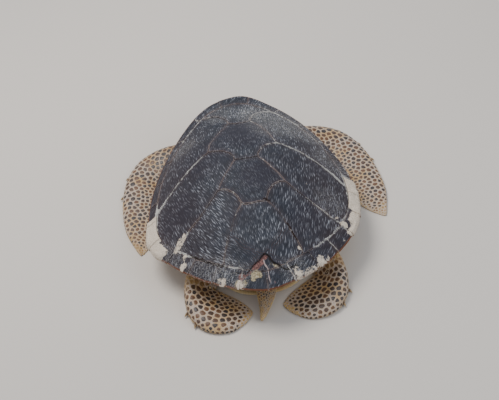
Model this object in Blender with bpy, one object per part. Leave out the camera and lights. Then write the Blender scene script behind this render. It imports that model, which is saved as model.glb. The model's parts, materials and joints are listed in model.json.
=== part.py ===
"""Hawksbill sea turtle, adult, life size, lying on its plastron with folded flippers.

Metres, +Z up. The turtle faces +Y and +X is its right. The origin is on the floor under
the middle of the shell, and everything that rests on the floor has a flat at z = 0.
"""

import math

import bmesh
import bpy
from mathutils import Vector, geometry

# Driving dimensions of the carapace.
SHELL_LENGTH = 0.83
HALF_WIDTH = 0.336
WIDEST = 0.52  # place of the widest line, as a share of the length from the front
CROWN = 0.275  # height of the ridge line at its highest
HIGHEST = 0.395
FRONT_RIM, SIDE_RIM, REAR_RIM = 0.206, 0.097, 0.136  # heights of the shell's edge
FRONT_CURVE = (1.90, 1.82)  # superellipse exponents along and across, ahead of the widest line
REAR_CURVE = (2.3, 1.42)
DOME_CURVE = (2.12, 1.10)

SCUTE_THICKNESS = 0.006
GAP = 0.0004  # between neighbouring solids
CELL = 0.036  # facet size on the shell
EDGE_DROP = 0.007  # thickness of the shell's edge
MARGINALS = 11  # pairs, apart from the nuchal in front and the two supracaudals behind
NUCHAL_SHARE = 0.045  # of the way round from the front to the rear
MARGINAL_GROWTH = 0.95  # below 1, so the first marginals are a little the longest
FRONT_BAND, SIDE_BAND, REAR_BAND = 0.038, 0.031, 0.052  # widths of the marginal scutes

# Where the costal seams meet the marginals, as shares of the way round from front to rear.
V1_END, C1_END, C2_END, C3_END, C4_END = 0.130, 0.517, 0.690, 0.866, 0.928

# Corners of the scute pattern on the right side: distance from the midline, share from the front.
CORNER = {"V1": (0.036, 0.207), "V2": (0.036, 0.470), "V3": (0.038, 0.679), "V4": (0.010, 0.876)}
APEX = {"V2": (0.103, 0.391), "V3": (0.103, 0.595), "V4": (0.086, 0.780)}
CROSS_BOWS = (0.015, 0.007, 0.005, 0.001)  # how far the seams across the midline bow to the rear

PLASTRON = (0.185, 0.315, 0.012)  # half width, half length, thickness
EYE = ((0.0340, 0.498, 0.070), 0.0145)  # centre on the right side, radius

BROWN = (0.045, 0.035, 0.035)
SKIN = (0.22, 0.15, 0.07)
HORN = (0.42, 0.28, 0.12)
CREAM = (0.75, 0.62, 0.36)


# ---------------------------------------------------------------- scene, materials, solids


def start_scene():
    for obj in list(bpy.data.objects):
        bpy.data.objects.remove(obj, do_unlink=True)
    turtle = bpy.data.collections.new("sea_turtle")
    helpers = bpy.data.collections.new("cutters")
    for collection in (turtle, helpers):
        bpy.context.scene.collection.children.link(collection)
    return turtle, helpers


def paint(obj, colour, roughness):
    material = bpy.data.materials.new(obj.name)
    material.use_nodes = True
    shader = material.node_tree.nodes["Principled BSDF"]
    shader.inputs["Base Color"].default_value = (*colour, 1)
    shader.inputs["Roughness"].default_value = roughness
    obj.data.materials.append(material)


def solid(name, bm, colour, roughness=0.5):
    """A named solid from a closed bmesh, hung on the turtle's empty."""
    bmesh.ops.recalc_face_normals(bm, faces=bm.faces[:])
    mesh = bpy.data.meshes.new(name)
    bm.to_mesh(mesh)
    bm.free()
    obj = bpy.data.objects.new(name, mesh)
    TURTLE.objects.link(obj)
    obj.parent = ROOT
    paint(obj, colour, roughness)
    return obj


def helper(name, mesh):
    obj = bpy.data.objects.new(name, mesh)
    HELPERS.objects.link(obj)
    obj.hide_render = True
    obj.display_type = "WIRE"
    return obj


def loft(rings):
    """A closed skin over rings of points, with flat ends."""
    bm = bmesh.new()
    rows = [[bm.verts.new(point) for point in ring] for ring in rings]
    count = len(rings[0])
    for row, after in zip(rows, rows[1:]):
        for i in range(count):
            j = (i + 1) % count
            bm.faces.new((row[i], row[j], after[j], after[i]))
    bmesh.ops.triangulate(bm, faces=bm.faces[:])
    ends = [bm.faces.new(rows[0]), bm.faces.new(rows[-1])]
    bmesh.ops.poke(bm, faces=ends)
    return bm


def boolean(obj, cutter, operation):
    cut = obj.modifiers.new(cutter.name, "BOOLEAN")
    cut.operation = operation
    cut.object = cutter


def keep_clear(obj, other):
    """Cuts away what would run into the other solid, and leaves the gap."""
    evaluated = other.evaluated_get(bpy.context.evaluated_depsgraph_get())
    mesh = bpy.data.meshes.new_from_object(evaluated)
    bm = bmesh.new()
    bm.from_mesh(mesh)
    bmesh.ops.remove_doubles(bm, verts=bm.verts, dist=1e-5)
    bm.normal_update()
    for vert in bm.verts:
        vert.co += vert.normal * GAP * vert.calc_shell_factor()
    bm.to_mesh(mesh)
    bm.free()
    boolean(obj, helper(f"{obj.name}_clear_of_{other.name}", mesh), "DIFFERENCE")


def through(start, middle, end, steps=4):
    """Points on the parabola from start to end that passes through middle half-way."""
    bend = [2 * m - (a + b) / 2 for a, m, b in zip(start, middle, end)]
    points = []
    for i in range(steps + 1):
        t = i / steps
        points.append(
            tuple((1 - t) ** 2 * a + 2 * t * (1 - t) * c + t * t * b for a, c, b in zip(start, bend, end))
        )
    return points


def smooth_path(knots, steps):
    """A Catmull-Rom curve through the knots, read at even steps from the first to the last."""
    knots = [Vector(knot) for knot in knots]
    ends = [2 * knots[0] - knots[1], *knots, 2 * knots[-1] - knots[-2]]
    points = []
    for i in range(steps + 1):
        place = i / steps * (len(knots) - 1)
        k = min(int(place), len(knots) - 2)
        t = place - k
        a, b, c, d = ends[k : k + 4]
        points.append(
            0.5 * (2 * b + (c - a) * t + (2 * a - 5 * b + 4 * c - d) * t**2 + (3 * b - a - 3 * c + d) * t**3)
        )
    return points


# ---------------------------------------------------------------- form of the carapace


def along(share):
    """y of a place given as a share of the shell's length from the front."""
    return SHELL_LENGTH * (0.5 - share)


def half_width(y):
    ahead = y > along(WIDEST)
    reach = SHELL_LENGTH * (WIDEST if ahead else 1 - WIDEST)
    lengthwise, across = FRONT_CURVE if ahead else REAR_CURVE
    share = min(1, abs(y - along(WIDEST)) / reach)
    return HALF_WIDTH * (1 - share**lengthwise) ** (1 / across)


def rim_height(y):
    share = 0.5 - y / SHELL_LENGTH
    front = max(0, (0.45 - share) / 0.45)
    rear = max(0, (share - 0.45) / 0.55)
    return SIDE_RIM + (FRONT_RIM - SIDE_RIM) * front**2 + (REAR_RIM - SIDE_RIM) * rear**2


def ridge_height(y):
    share = 0.5 - y / SHELL_LENGTH
    if share < HIGHEST:
        fall = ((HIGHEST - share) / HIGHEST) ** 2
    else:
        fall = ((share - HIGHEST) / (1 - HIGHEST)) ** 2.2
    return rim_height(y) + (CROWN - rim_height(y)) * (1 - min(1, fall))


def shell_height(x, y):
    across = min(1, abs(x) / max(half_width(y), 1e-6))
    power, roundness = DOME_CURVE
    return rim_height(y) + (ridge_height(y) - rim_height(y)) * (1 - across**power) ** roundness


def rim_curve(samples=720):
    """The shell's edge on the right side in plan, front to rear, with its running length."""
    points = []
    for i in range(samples + 1):
        angle = math.pi * i / samples
        ahead = math.cos(angle) > 0
        lengthwise, across = FRONT_CURVE if ahead else REAR_CURVE
        reach = SHELL_LENGTH * (WIDEST if ahead else -(1 - WIDEST))
        x = HALF_WIDTH * math.sin(angle) ** (2 / across)
        points.append((x, along(WIDEST) + reach * abs(math.cos(angle)) ** (2 / lengthwise)))
    lengths = [0.0]
    for a, b in zip(points, points[1:]):
        lengths.append(lengths[-1] + math.dist(a, b))
    return points, lengths


RIM_POINTS, RIM_LENGTHS = rim_curve()


def rim_at(share):
    """Plan point of the edge: a share runs 0 to 1 from front to rear on the right, below 0 on the left."""
    if share < 0:
        x, y = rim_at(-share)
        return -x, y
    if share > 1:
        x, y = rim_at(2 - share)
        return -x, y
    target = share * RIM_LENGTHS[-1]
    i = min(sum(length < target for length in RIM_LENGTHS), len(RIM_LENGTHS) - 1)
    i = max(i, 1)
    t = (target - RIM_LENGTHS[i - 1]) / (RIM_LENGTHS[i] - RIM_LENGTHS[i - 1])
    (ax, ay), (bx, by) = RIM_POINTS[i - 1 : i + 1]
    return ax + (bx - ax) * t, ay + (by - ay) * t


def band_width(share):
    turn = math.cos(math.pi * share)
    end = FRONT_BAND if turn > 0 else REAR_BAND
    return SIDE_BAND + (end - SIDE_BAND) * turn**2


def band_at(share, inward):
    """Plan point on the marginal band: inward is 0 at the edge and 1 at its inner seam."""
    x, y = rim_at(share)
    ax, ay = rim_at(share - 0.02)
    bx, by = rim_at(share + 0.02)
    tangent = Vector((bx - ax, by - ay)).normalized()
    depth = band_width(share) * inward
    return x + tangent.y * depth, y - tangent.x * depth


# A grown shell is never quite even. Where it has settled outward: a centre, its reach, the shift.
SETTLED = (
    (-0.080, 0.400, 0.130, -0.008, 0.020),
    (-0.335, -0.135, 0.090, -0.018, -0.012),
    (-0.100, 0.125, 0.070, -0.017, 0.000),
    (0.045, 0.420, 0.055, 0.000, 0.015),
)


def settled(x, y):
    right, ahead = 0.0, 0.0
    for centre_x, centre_y, reach, to_right, to_front in SETTLED:
        near = math.exp(-((x - centre_x) ** 2 + (y - centre_y) ** 2) / reach**2)
        right, ahead = right + near * to_right, ahead + near * to_front
    return x + right, y + ahead


def inner_seam(start, end, steps):
    return [band_at(start + (end - start) * i / steps, 1) for i in range(steps + 1)]


# ---------------------------------------------------------------- scutes


def inset(outline, distance):
    """The outline moved inward by a distance on every side."""
    area = sum(a[0] * b[1] - b[0] * a[1] for a, b in zip(outline, outline[1:] + outline[:1]))
    side = 1 if area > 0 else -1
    moved = []
    for i, point in enumerate(outline):
        before = (Vector(point) - Vector(outline[i - 1])).normalized()
        after = (Vector(outline[(i + 1) % len(outline)]) - Vector(point)).normalized()
        normal = Vector((-before.y - after.y, before.x + after.x)).normalized() * side
        lean = max(0.5, abs(normal.dot(Vector((-after.y, after.x)))))
        moved.append(Vector(point) + normal * distance / lean)
    return moved


def grid_inside(outline, cell):
    """Points of a grid that lie inside an outline and well clear of its sides."""
    xs = [point.x for point in outline]
    ys = [point.y for point in outline]
    sides = list(zip(outline, outline[1:] + outline[:1]))
    found = []
    for row in range(1, 1 + int((max(ys) - min(ys)) / cell)):
        for column in range(1, 1 + int((max(xs) - min(xs)) / cell)):
            place = Vector((min(xs) + (column - 0.5 * (row % 2)) * cell, min(ys) + row * cell))
            crossings = sum(
                (a.y > place.y) != (b.y > place.y)
                and place.x < a.x + (b.x - a.x) * (place.y - a.y) / (b.y - a.y)
                for a, b in sides
            )
            if crossings % 2 == 0:
                continue
            nearest = min(
                (place - geometry.intersect_point_line(place, a, b)[0].xy).length for a, b in sides
            )
            if nearest > 0.36 * cell:
                found.append(place)
    return found


def scute(name, outline):
    """A plate of horn on the dome: its outline in plan, lifted to the shell's surface."""
    edge = inset(outline, GAP / 2)
    points = edge + grid_inside(edge, CELL)
    flat, _, triangles, *_ = geometry.delaunay_2d_cdt(points, [], [list(range(len(edge)))], 1, 1e-6)
    bm = bmesh.new()
    upper = [bm.verts.new((*settled(p.x, p.y), shell_height(p.x, p.y))) for p in flat]
    for triangle in triangles:
        bm.faces.new([upper[i] for i in triangle])
    lower = bmesh.ops.extrude_face_region(bm, geom=bm.faces[:], use_keep_orig=True)["geom"]
    moved = [part for part in lower if isinstance(part, bmesh.types.BMVert)]
    bmesh.ops.translate(bm, verts=moved, vec=(0, 0, -SCUTE_THICKNESS))
    return solid(name, bm, BROWN, 0.4)


def mirrored(points):
    return [(-x, y) for x, y in points]


def place(spot):
    return spot[0], along(spot[1])


def seam(start, middle, end):
    """A seam between two corners, each a tuple of distance from the midline and share from the front."""
    return through(place(start), place(middle), place(end))


def share_spot(share):
    """The inner seam of the band at a share, as a distance from the midline and a share of the length."""
    x, y = band_at(share, 1)
    return x, 0.5 - y / SHELL_LENGTH


def join(*runs):
    """One closed outline from runs of points, with shared ends dropped."""
    outline = []
    for run in runs:
        for point in run:
            if not outline or math.dist(point, outline[-1]) > 1e-6:
                outline.append(point)
    if math.dist(outline[0], outline[-1]) < 1e-6:
        outline.pop()
    return outline


def vertebral_sides():
    """The right-hand side of each vertebral scute, from its front corner to its rear corner."""
    return {
        1: seam(share_spot(V1_END), (0.060, 0.130), CORNER["V1"]),
        2: join(
            seam(CORNER["V1"], (0.080, 0.311), APEX["V2"]),
            seam(APEX["V2"], (0.057, 0.418), CORNER["V2"]),
        ),
        3: join(
            seam(CORNER["V2"], (0.078, 0.541), APEX["V3"]),
            seam(APEX["V3"], (0.062, 0.621), CORNER["V3"]),
        ),
        4: join(
            seam(CORNER["V3"], (0.065, 0.724), APEX["V4"]),
            seam(APEX["V4"], (0.050, 0.836), CORNER["V4"]),
        ),
        5: seam(CORNER["V4"], (0.037, 0.902), share_spot(C4_END)),
    }


def cross_seam(corner, bow):
    """The seam behind a vertebral scute, bowed to the rear, from its right corner to its left one."""
    x, share = CORNER[corner]
    return seam((x, share), (0, share + bow), (-x, share))


def make_vertebrals():
    sides = vertebral_sides()
    ends = {number: cross_seam(f"V{number}", bow) for number, bow in enumerate(CROSS_BOWS, 1)}
    ends[5] = inner_seam(C4_END, 2 - C4_END, 6)
    fronts = {number + 1: ends[number][::-1] for number in (1, 2, 3, 4)}
    fronts[1] = inner_seam(-V1_END, V1_END, 6)
    for number, side in sides.items():
        left = mirrored(side)[::-1]
        scute(f"vertebral_{number}", join(fronts[number], side, ends[number], left))


def make_costals():
    sides = vertebral_sides()
    seams = {
        1: seam(APEX["V2"], (0.208, 0.440), share_spot(C1_END)),
        2: seam(APEX["V3"], (0.176, 0.678), share_spot(C2_END)),
        3: seam(APEX["V4"], (0.106, 0.828), share_spot(C3_END)),
    }
    outer = {
        1: inner_seam(V1_END, C1_END, 9),
        2: inner_seam(C1_END, C2_END, 4),
        3: inner_seam(C2_END, C3_END, 4),
        4: inner_seam(C3_END, C4_END, 2),
    }
    # A costal scute lies beside the rear half of one vertebral side and the front half of the next.
    inner = {
        1: join(sides[1], sides[2][:5])[::-1],
        2: join(sides[2][4:], sides[3][:5])[::-1],
        3: join(sides[3][4:], sides[4][:5])[::-1],
        4: join(sides[4][4:], sides[5])[::-1],
    }
    for number in (1, 2, 3, 4):
        front = seams[number - 1] if number > 1 else []
        rear = seams[number][::-1] if number < 4 else []
        outline = join(front, outer[number], rear, inner[number])
        scute(f"costal_{number}_right", outline)
        scute(f"costal_{number}_left", mirrored(outline))


def marginal(name, start, end, steps=4):
    """A wedge of the shell's edge: thick at its inner seam, thin where it ends, flat ends at its seams."""
    rings = []
    margin = GAP / 2 / RIM_LENGTHS[-1]
    for i in range(steps + 1):
        share = start + margin + (end - start - 2 * margin) * i / steps
        rim_x, rim_y = band_at(share, 0)
        edge = rim_height(rim_y)
        top = []
        for inward in (0.99, 0.5, 0.12):
            x, y = band_at(share, inward)
            top.append((*settled(x, y), shell_height(x, y)))
        lip = [(*settled(rim_x, rim_y), edge - 0.4 * EDGE_DROP)]
        under = []
        for inward, depth in ((0.10, 0.9), (0.5, 1.3), (0.99, 1.6)):
            x, y = band_at(share, inward)
            under.append((*settled(x, y), edge - depth * EDGE_DROP))
        rings.append(top + lip + under)
    return solid(name, loft(rings), BROWN, 0.4)


def marginal_seam(number):
    """Share of the way round at which a marginal scute ends."""
    return NUCHAL_SHARE + (1 - NUCHAL_SHARE) * (number / (MARGINALS + 1)) ** MARGINAL_GROWTH


def make_marginals():
    marginal("nuchal", -NUCHAL_SHARE, NUCHAL_SHARE)
    for number in range(1, MARGINALS + 2):
        start, end = marginal_seam(number - 1), marginal_seam(number)
        name = f"marginal_{number}" if number <= MARGINALS else "supracaudal"
        marginal(f"{name}_right", start, end)
        marginal(f"{name}_left", -end, -start)


# ---------------------------------------------------------------- trunk and plastron


def plastron_at(share, scale=1.0):
    half_across, half_along, _ = PLASTRON
    angle = math.pi * share
    x = half_across * scale * math.copysign(abs(math.sin(angle)) ** 0.8, math.sin(angle))
    y = half_along * scale * math.copysign(abs(math.cos(angle)) ** 0.85, math.cos(angle))
    return x, y


def make_plastron(around=40):
    """The belly plate: flat below, with its edge turned up."""
    rings = []
    for scale, z in ((0.93, 0.0), (0.975, 0.003), (1.0, 0.008), (0.99, PLASTRON[2])):
        rings.append([(*plastron_at(2 * i / around, scale), z) for i in range(around)])
    return solid("plastron", loft(rings), CREAM, 0.5)


def make_trunk(around=40):
    """The body inside the shell: a dome under the scutes, and flanks that slope in to the plastron."""
    shares = [2 * i / around for i in range(around)]
    rings = []
    for reach in (0.22, 0.46, 0.68, 0.85, 0.965):
        ring = []
        for share in shares:
            x, y = (reach * value for value in band_at(share, 1))
            ring.append((*settled(x, y), shell_height(x, y) - SCUTE_THICKNESS - 0.0038))
        rings.append(ring)
    flank = ((0.965, 1.0, 0.93), (0.93, 0.70, 0.62), (0.62, 0.36, 0.30), (0.28, 0.16, 0.13))
    for side_reach, rise, end_reach in flank:
        ring = []
        for share in shares:
            bx, by = settled(*band_at(share, 1))
            px, py = plastron_at(share, 0.97)
            turn = math.cos(math.pi * share) ** 2
            reach = side_reach + (end_reach - side_reach) * turn
            bottom = PLASTRON[2] + GAP
            top = rim_height(rim_at(share if share <= 1 else share - 2)[1]) - 2 * EDGE_DROP
            ring.append((px + (bx - px) * reach, py + (by - py) * reach, bottom + (top - bottom) * rise))
        rings.append(ring)
    rings.append([(*plastron_at(share, 0.97), PLASTRON[2] + GAP) for share in shares])
    return solid("trunk", loft(rings), SKIN, 0.6)


# ---------------------------------------------------------------- head, neck and tail

HEAD_BACK, HEAD_LENGTH = 0.405, 0.170
# Share of the head's length, half width, top, bottom, and the height of its widest line.
HEAD_STATIONS = (
    (0.00, 0.047, 0.097, 0.010, 0.050),
    (0.12, 0.052, 0.102, 0.004, 0.052),
    (0.28, 0.054, 0.106, 0.000, 0.050),
    (0.42, 0.052, 0.107, 0.000, 0.050),
    (0.54, 0.047, 0.104, 0.000, 0.052),
    (0.65, 0.040, 0.098, 0.000, 0.054),
    (0.76, 0.031, 0.087, 0.001, 0.050),
    (0.86, 0.022, 0.073, 0.004, 0.044),
    (0.94, 0.013, 0.060, 0.009, 0.038),
    (1.00, 0.005, 0.046, 0.018, 0.032),
)


def head_ring(half, top, bottom, widest, y, around=20):
    """A cross-section with a rounded crown, full cheeks and a flatter throat."""
    ring = []
    for i in range(around):
        angle = 2 * math.pi * i / around
        rise = math.cos(angle)
        x = half * math.copysign(abs(math.sin(angle)) ** 0.85, math.sin(angle))
        if rise > 0:
            z = widest + (top - widest) * rise**0.95
        else:
            z = widest + (widest - bottom) * max(rise * 1.12, -1)
        ring.append((x, y, z))
    return ring


def whole_head():
    rings = []
    for share, half, top, bottom, widest in HEAD_STATIONS:
        rings.append(head_ring(half, top, bottom, widest, HEAD_BACK + HEAD_LENGTH * share))
    return loft(rings)


def side_prism(name, profile):
    """A wedge across the head from a profile in the side view, to cut the jaws with."""
    reach = 0.08
    bm = bmesh.new()
    bm.faces.new([bm.verts.new((-reach, y, z)) for y, z in profile])
    sweep = bmesh.ops.extrude_face_region(bm, geom=bm.faces[:], use_keep_orig=True)["geom"]
    far = [part for part in sweep if isinstance(part, bmesh.types.BMVert)]
    bmesh.ops.translate(bm, verts=far, vec=(2 * reach, 0, 0))
    bmesh.ops.recalc_face_normals(bm, faces=bm.faces[:])
    mesh = bpy.data.meshes.new(name)
    bm.to_mesh(mesh)
    bm.free()
    return helper(name, mesh)


def make_head():
    """The head with its two jaw sheaths and its eyes, parted from one form by thin cuts."""
    corner, tip = (0.514, 0.034), (0.600, 0.028)
    slit = GAP / 2
    upper = [(corner[0], corner[1] + slit), (tip[0], tip[1] + slit), (0.600, 0.130), (0.560, 0.130)]
    lower = [(corner[0], corner[1] - slit), (0.545, -0.02), (0.600, -0.02), (tip[0], tip[1] - slit)]
    notch = [(corner[0] - GAP, corner[1]), (0.560 - GAP, 0.130), (0.61, 0.130)]
    notch += [(0.61, -0.02), (0.545 - GAP, -0.02)]
    beak = solid("upper_beak", whole_head(), HORN, 0.35)
    boolean(beak, side_prism("upper_jaw_cut", upper), "INTERSECT")
    jaw = solid("lower_beak", whole_head(), HORN, 0.35)
    boolean(jaw, side_prism("lower_jaw_cut", lower), "INTERSECT")
    head = solid("head", whole_head(), SKIN, 0.55)
    boolean(head, side_prism("jaw_notch", notch), "DIFFERENCE")
    (x, y, z), radius = EYE
    for side, name in ((1, "right"), (-1, "left")):
        bm = bmesh.new()
        bmesh.ops.create_uvsphere(bm, u_segments=14, v_segments=9, radius=radius)
        bmesh.ops.translate(bm, verts=bm.verts, vec=(side * x, y, z))
        eye = solid(f"eye_{name}", bm, (0.02, 0.015, 0.01), 0.1)
        keep_clear(head, eye)


def make_neck(trunk, plastron):
    _, half, top, bottom, widest = HEAD_STATIONS[0]
    rings = []
    stations = ((0.270, 1.30, 0.010), (0.315, 1.25, 0.008), (0.360, 1.12, 0.003), (HEAD_BACK - GAP, 1.0, 0.0))
    for y, grow, lift in stations:
        middle = (top + bottom) / 2 + lift
        reach = (top - bottom) / 2 * grow
        rings.append(head_ring(half * grow, middle + reach, middle - reach, widest + lift, y))
    neck = solid("neck", loft(rings), SKIN, 0.6)
    keep_clear(neck, trunk)
    keep_clear(neck, plastron)


def make_tail(trunk):
    """Short, as a female's is, drooping to the floor a little left of the middle."""
    rings = []
    stations = (
        ((0.000, -0.250, 0.060), 0.048, 0.036),
        ((0.000, -0.300, 0.052), 0.042, 0.032),
        ((-0.005, -0.345, 0.038), 0.030, 0.024),
        ((-0.014, -0.380, 0.025), 0.019, 0.017),
        ((-0.024, -0.405, 0.015), 0.011, 0.011),
        ((-0.030, -0.418, 0.010), 0.005, 0.006),
    )
    for (x, y, z), half, reach in stations:
        ring = []
        for i in range(14):
            angle = 2 * math.pi * i / 14
            ring.append((x + half * math.sin(angle), y, max(0.0, z + reach * math.cos(angle))))
        rings.append(ring)
    tail = solid("tail", loft(rings), SKIN, 0.6)
    keep_clear(tail, trunk)


# ---------------------------------------------------------------- flippers and claws

# Across a flipper, from its thin trailing edge to its thick leading edge: share across, share of thickness.
FLIPPER_SECTION = (
    (0.00, 0.12),
    (0.04, 0.00),
    (0.50, 0.00),
    (0.94, 0.00),
    (1.00, 0.38),
    (0.96, 0.76),
    (0.82, 1.00),
    (0.58, 0.88),
    (0.32, 0.56),
    (0.08, 0.26),
)

# Each flipper: knots in plan along its two edges from root to tip, its thickness and height off the floor
# at those knots, and its claws, each by its place out of 40 along the leading edge and its length.
FRONT_FLIPPER = {
    "leading": (
        (0.120, 0.335), (0.200, 0.392), (0.285, 0.412), (0.365, 0.378), (0.418, 0.292), (0.445, 0.180),
        (0.452, 0.068), (0.432, -0.042),
    ),
    "trailing": (
        (0.170, 0.180), (0.238, 0.232), (0.274, 0.238), (0.293, 0.205), (0.303, 0.140), (0.328, 0.062),
        (0.368, -0.004), (0.422, -0.054),
    ),
    "thickness": (0.080, 0.072, 0.056, 0.044, 0.034, 0.026, 0.018, 0.009),
    "lift": (0.022, 0.012, 0.004, 0.0, 0.0, 0.0, 0.0, 0.0),
    "claws": ((21, 0.015), (26, 0.012)),
}
HIND_FLIPPER = {
    "leading": (
        (0.195, -0.160), (0.240, -0.230), (0.252, -0.305), (0.234, -0.380), (0.184, -0.430), (0.116, -0.438),
        (0.062, -0.402),
    ),
    "trailing": (
        (0.072, -0.205), (0.128, -0.240), (0.152, -0.260), (0.134, -0.278), (0.100, -0.301), (0.066, -0.328),
        (0.038, -0.362),
    ),
    "thickness": (0.085, 0.074, 0.058, 0.042, 0.030, 0.020, 0.010),
    "lift": (0.010, 0.006, 0.0, 0.0, 0.0, 0.0, 0.0),
    "claws": ((17, 0.014), (22, 0.012)),
}
SHOULDER, HIP = (0.25, 0.32), (0.19, -0.27)  # the left limbs are swung about these
CLAW_HEIGHT, CLAW_RADIUS, CLAW_SUNK = 0.0085, 0.0065, 0.004


def swung(points, pivot, degrees):
    """Plan points turned about a joint of the limb, growing from none at the first to all at the last."""
    turned = []
    for i, point in enumerate(points):
        angle = math.radians(degrees) * i / (len(points) - 1)
        offset = Vector(point) - Vector(pivot)
        x = offset.x * math.cos(angle) - offset.y * math.sin(angle)
        y = offset.x * math.sin(angle) + offset.y * math.cos(angle)
        turned.append((pivot[0] + x, pivot[1] + y))
    return turned


def flipper(name, leading, trailing, thickness, lift, side, steps=13):
    """A paddle between two edge curves: flat on the floor, thick along its leading edge."""
    front = smooth_path(leading, steps)
    back = smooth_path(trailing, steps)
    thick = smooth_path([(value, 0) for value in thickness], steps)
    rise = smooth_path([(value, 0) for value in lift], steps)
    rings = []
    for a, b, depth, floor in zip(front, back, thick, rise):
        ring = []
        for across, up in FLIPPER_SECTION:
            point = b + (a - b) * across
            ring.append((side * point.x, point.y, max(0.0, floor.x) + depth.x * up))
        rings.append(ring)
    return solid(name, loft(rings), SKIN, 0.55)


def claw(name, root, tip, radius, limb):
    """A short curved horn on the leading edge, flat-cut where it leaves the limb."""
    root, tip = Vector(root), Vector(tip)
    bend = root.lerp(tip, 0.55) + Vector((0, 0, 0.3 * radius))
    rings = []
    for point, share in ((root, 1.0), (bend, 0.72), (tip, 0.16)):
        forward = (tip - root).normalized()
        across = forward.cross(Vector((0, 0, 1))).normalized()
        up = across.cross(forward)
        rings.append(
            [
                point + (across * math.sin(a) * 0.8 + up * math.cos(a)) * radius * share
                for a in (2 * math.pi * i / 8 for i in range(8))
            ]
        )
    keep_clear(solid(name, loft(rings), HORN, 0.3), limb)


def make_claws(limb, name, leading, trailing, side, spots):
    """Two horns on a flipper's leading edge, pointing out and back along it."""
    edge = smooth_path(leading, 40)
    for number, (spot, length) in enumerate(spots, 1):
        foot, ahead = edge[spot], edge[spot + 1]
        run = (ahead - foot).normalized()
        out = Vector((-run.y, run.x))
        if run.cross(Vector(trailing[4]) - foot) > 0:
            out = -out
        start = foot - out * CLAW_SUNK
        end = foot + out * length * 0.75 + run * length * 0.65
        root = (side * start.x, start.y, CLAW_HEIGHT)
        tip = (side * end.x, end.y, 0.55 * CLAW_HEIGHT)
        claw(f"claw_{name}_{number}", root, tip, CLAW_RADIUS, limb)


def make_limbs(trunk, plastron):
    """Four flippers, each with two claws. The left pair lies a little differently from the right."""
    for side, word, front_swing, hind_swing in ((1, "right", 0, 0), (-1, "left", -7, 6)):
        for limb, form, pivot, swing in (
            ("front", FRONT_FLIPPER, SHOULDER, front_swing),
            ("hind", HIND_FLIPPER, HIP, hind_swing),
        ):
            leading = swung(form["leading"], pivot, swing)
            trailing = swung(form["trailing"], pivot, swing)
            thickness, lift = form["thickness"], form["lift"]
            paddle = flipper(f"{limb}_flipper_{word}", leading, trailing, thickness, lift, side)
            keep_clear(paddle, trunk)
            keep_clear(paddle, plastron)
            make_claws(paddle, f"{limb}_{word}", leading, trailing, side, form["claws"])


TURTLE, HELPERS = start_scene()
ROOT = bpy.data.objects.new("turtle", None)
TURTLE.objects.link(ROOT)

make_vertebrals()
make_costals()
make_marginals()
plastron_solid = make_plastron()
trunk_solid = make_trunk()
make_head()
make_neck(trunk_solid, plastron_solid)
make_tail(trunk_solid)
make_limbs(trunk_solid, plastron_solid)
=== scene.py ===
"""The looks of a life-size hawksbill turtle at rest. Metres, +Z up; it faces +Y and +X is its right."""

import json
import math

import bmesh
import bpy
import numpy as np
from mathutils import Matrix, Vector, geometry, noise
from mathutils.bvhtree import BVHTree
from mathutils.kdtree import KDTree

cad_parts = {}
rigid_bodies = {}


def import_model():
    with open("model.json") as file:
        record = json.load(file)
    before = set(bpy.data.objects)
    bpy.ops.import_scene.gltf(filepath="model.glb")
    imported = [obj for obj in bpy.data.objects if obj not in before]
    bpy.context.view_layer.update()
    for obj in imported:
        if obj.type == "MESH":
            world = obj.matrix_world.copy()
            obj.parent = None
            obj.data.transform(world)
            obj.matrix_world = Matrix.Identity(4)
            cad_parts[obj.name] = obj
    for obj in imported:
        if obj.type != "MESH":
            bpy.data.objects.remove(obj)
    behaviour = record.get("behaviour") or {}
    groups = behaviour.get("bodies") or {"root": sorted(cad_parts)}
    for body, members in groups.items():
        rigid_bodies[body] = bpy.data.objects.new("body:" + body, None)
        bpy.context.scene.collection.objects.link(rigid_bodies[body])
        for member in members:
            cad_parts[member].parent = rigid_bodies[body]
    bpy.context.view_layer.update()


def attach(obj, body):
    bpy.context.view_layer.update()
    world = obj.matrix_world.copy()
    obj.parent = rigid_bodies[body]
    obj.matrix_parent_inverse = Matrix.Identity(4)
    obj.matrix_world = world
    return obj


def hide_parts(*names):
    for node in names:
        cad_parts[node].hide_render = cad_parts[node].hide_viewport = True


for startup_object in list(bpy.data.objects):
    bpy.data.objects.remove(startup_object, do_unlink=True)
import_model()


# ------------------------------------------------------------------ studio
# A pale sweep under broad soft light, seen from behind and above the turtle, with the view
# rolled a little.

VIEW_UP, VIEW_ROUND, VIEW_ROLL = (math.radians(angle) for angle in (42.6, -2.2, -6.9))
VIEW_DISTANCE, VIEW_LENS = 3.174, 71.9
VIEW_TARGET = Vector((0, 0, 0.15))
VIEW_SIDEWAYS, VIEW_RAISED = -0.0045, -0.028



def placed(name, data):
    """A new object in the scene."""
    piece = bpy.data.objects.new(name, data)
    bpy.context.scene.collection.objects.link(piece)
    return piece


level = Vector((math.cos(VIEW_ROUND), math.sin(VIEW_ROUND), 0))
back = Vector((level.y, -level.x, 0)) * math.cos(VIEW_UP) + Vector((0, 0, math.sin(VIEW_UP)))
upright = back.cross(level)
right = level * math.cos(VIEW_ROLL) + upright * math.sin(VIEW_ROLL)
up = upright * math.cos(VIEW_ROLL) - level * math.sin(VIEW_ROLL)
spot = VIEW_TARGET + back * VIEW_DISTANCE + right * VIEW_SIDEWAYS + up * VIEW_RAISED
camera = placed("camera", bpy.data.cameras.new("camera"))
camera.data.lens = VIEW_LENS
camera.matrix_world = Matrix.Translation(spot) @ Matrix((right, up, back)).transposed().to_4x4()
bpy.context.scene.camera = camera

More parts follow.
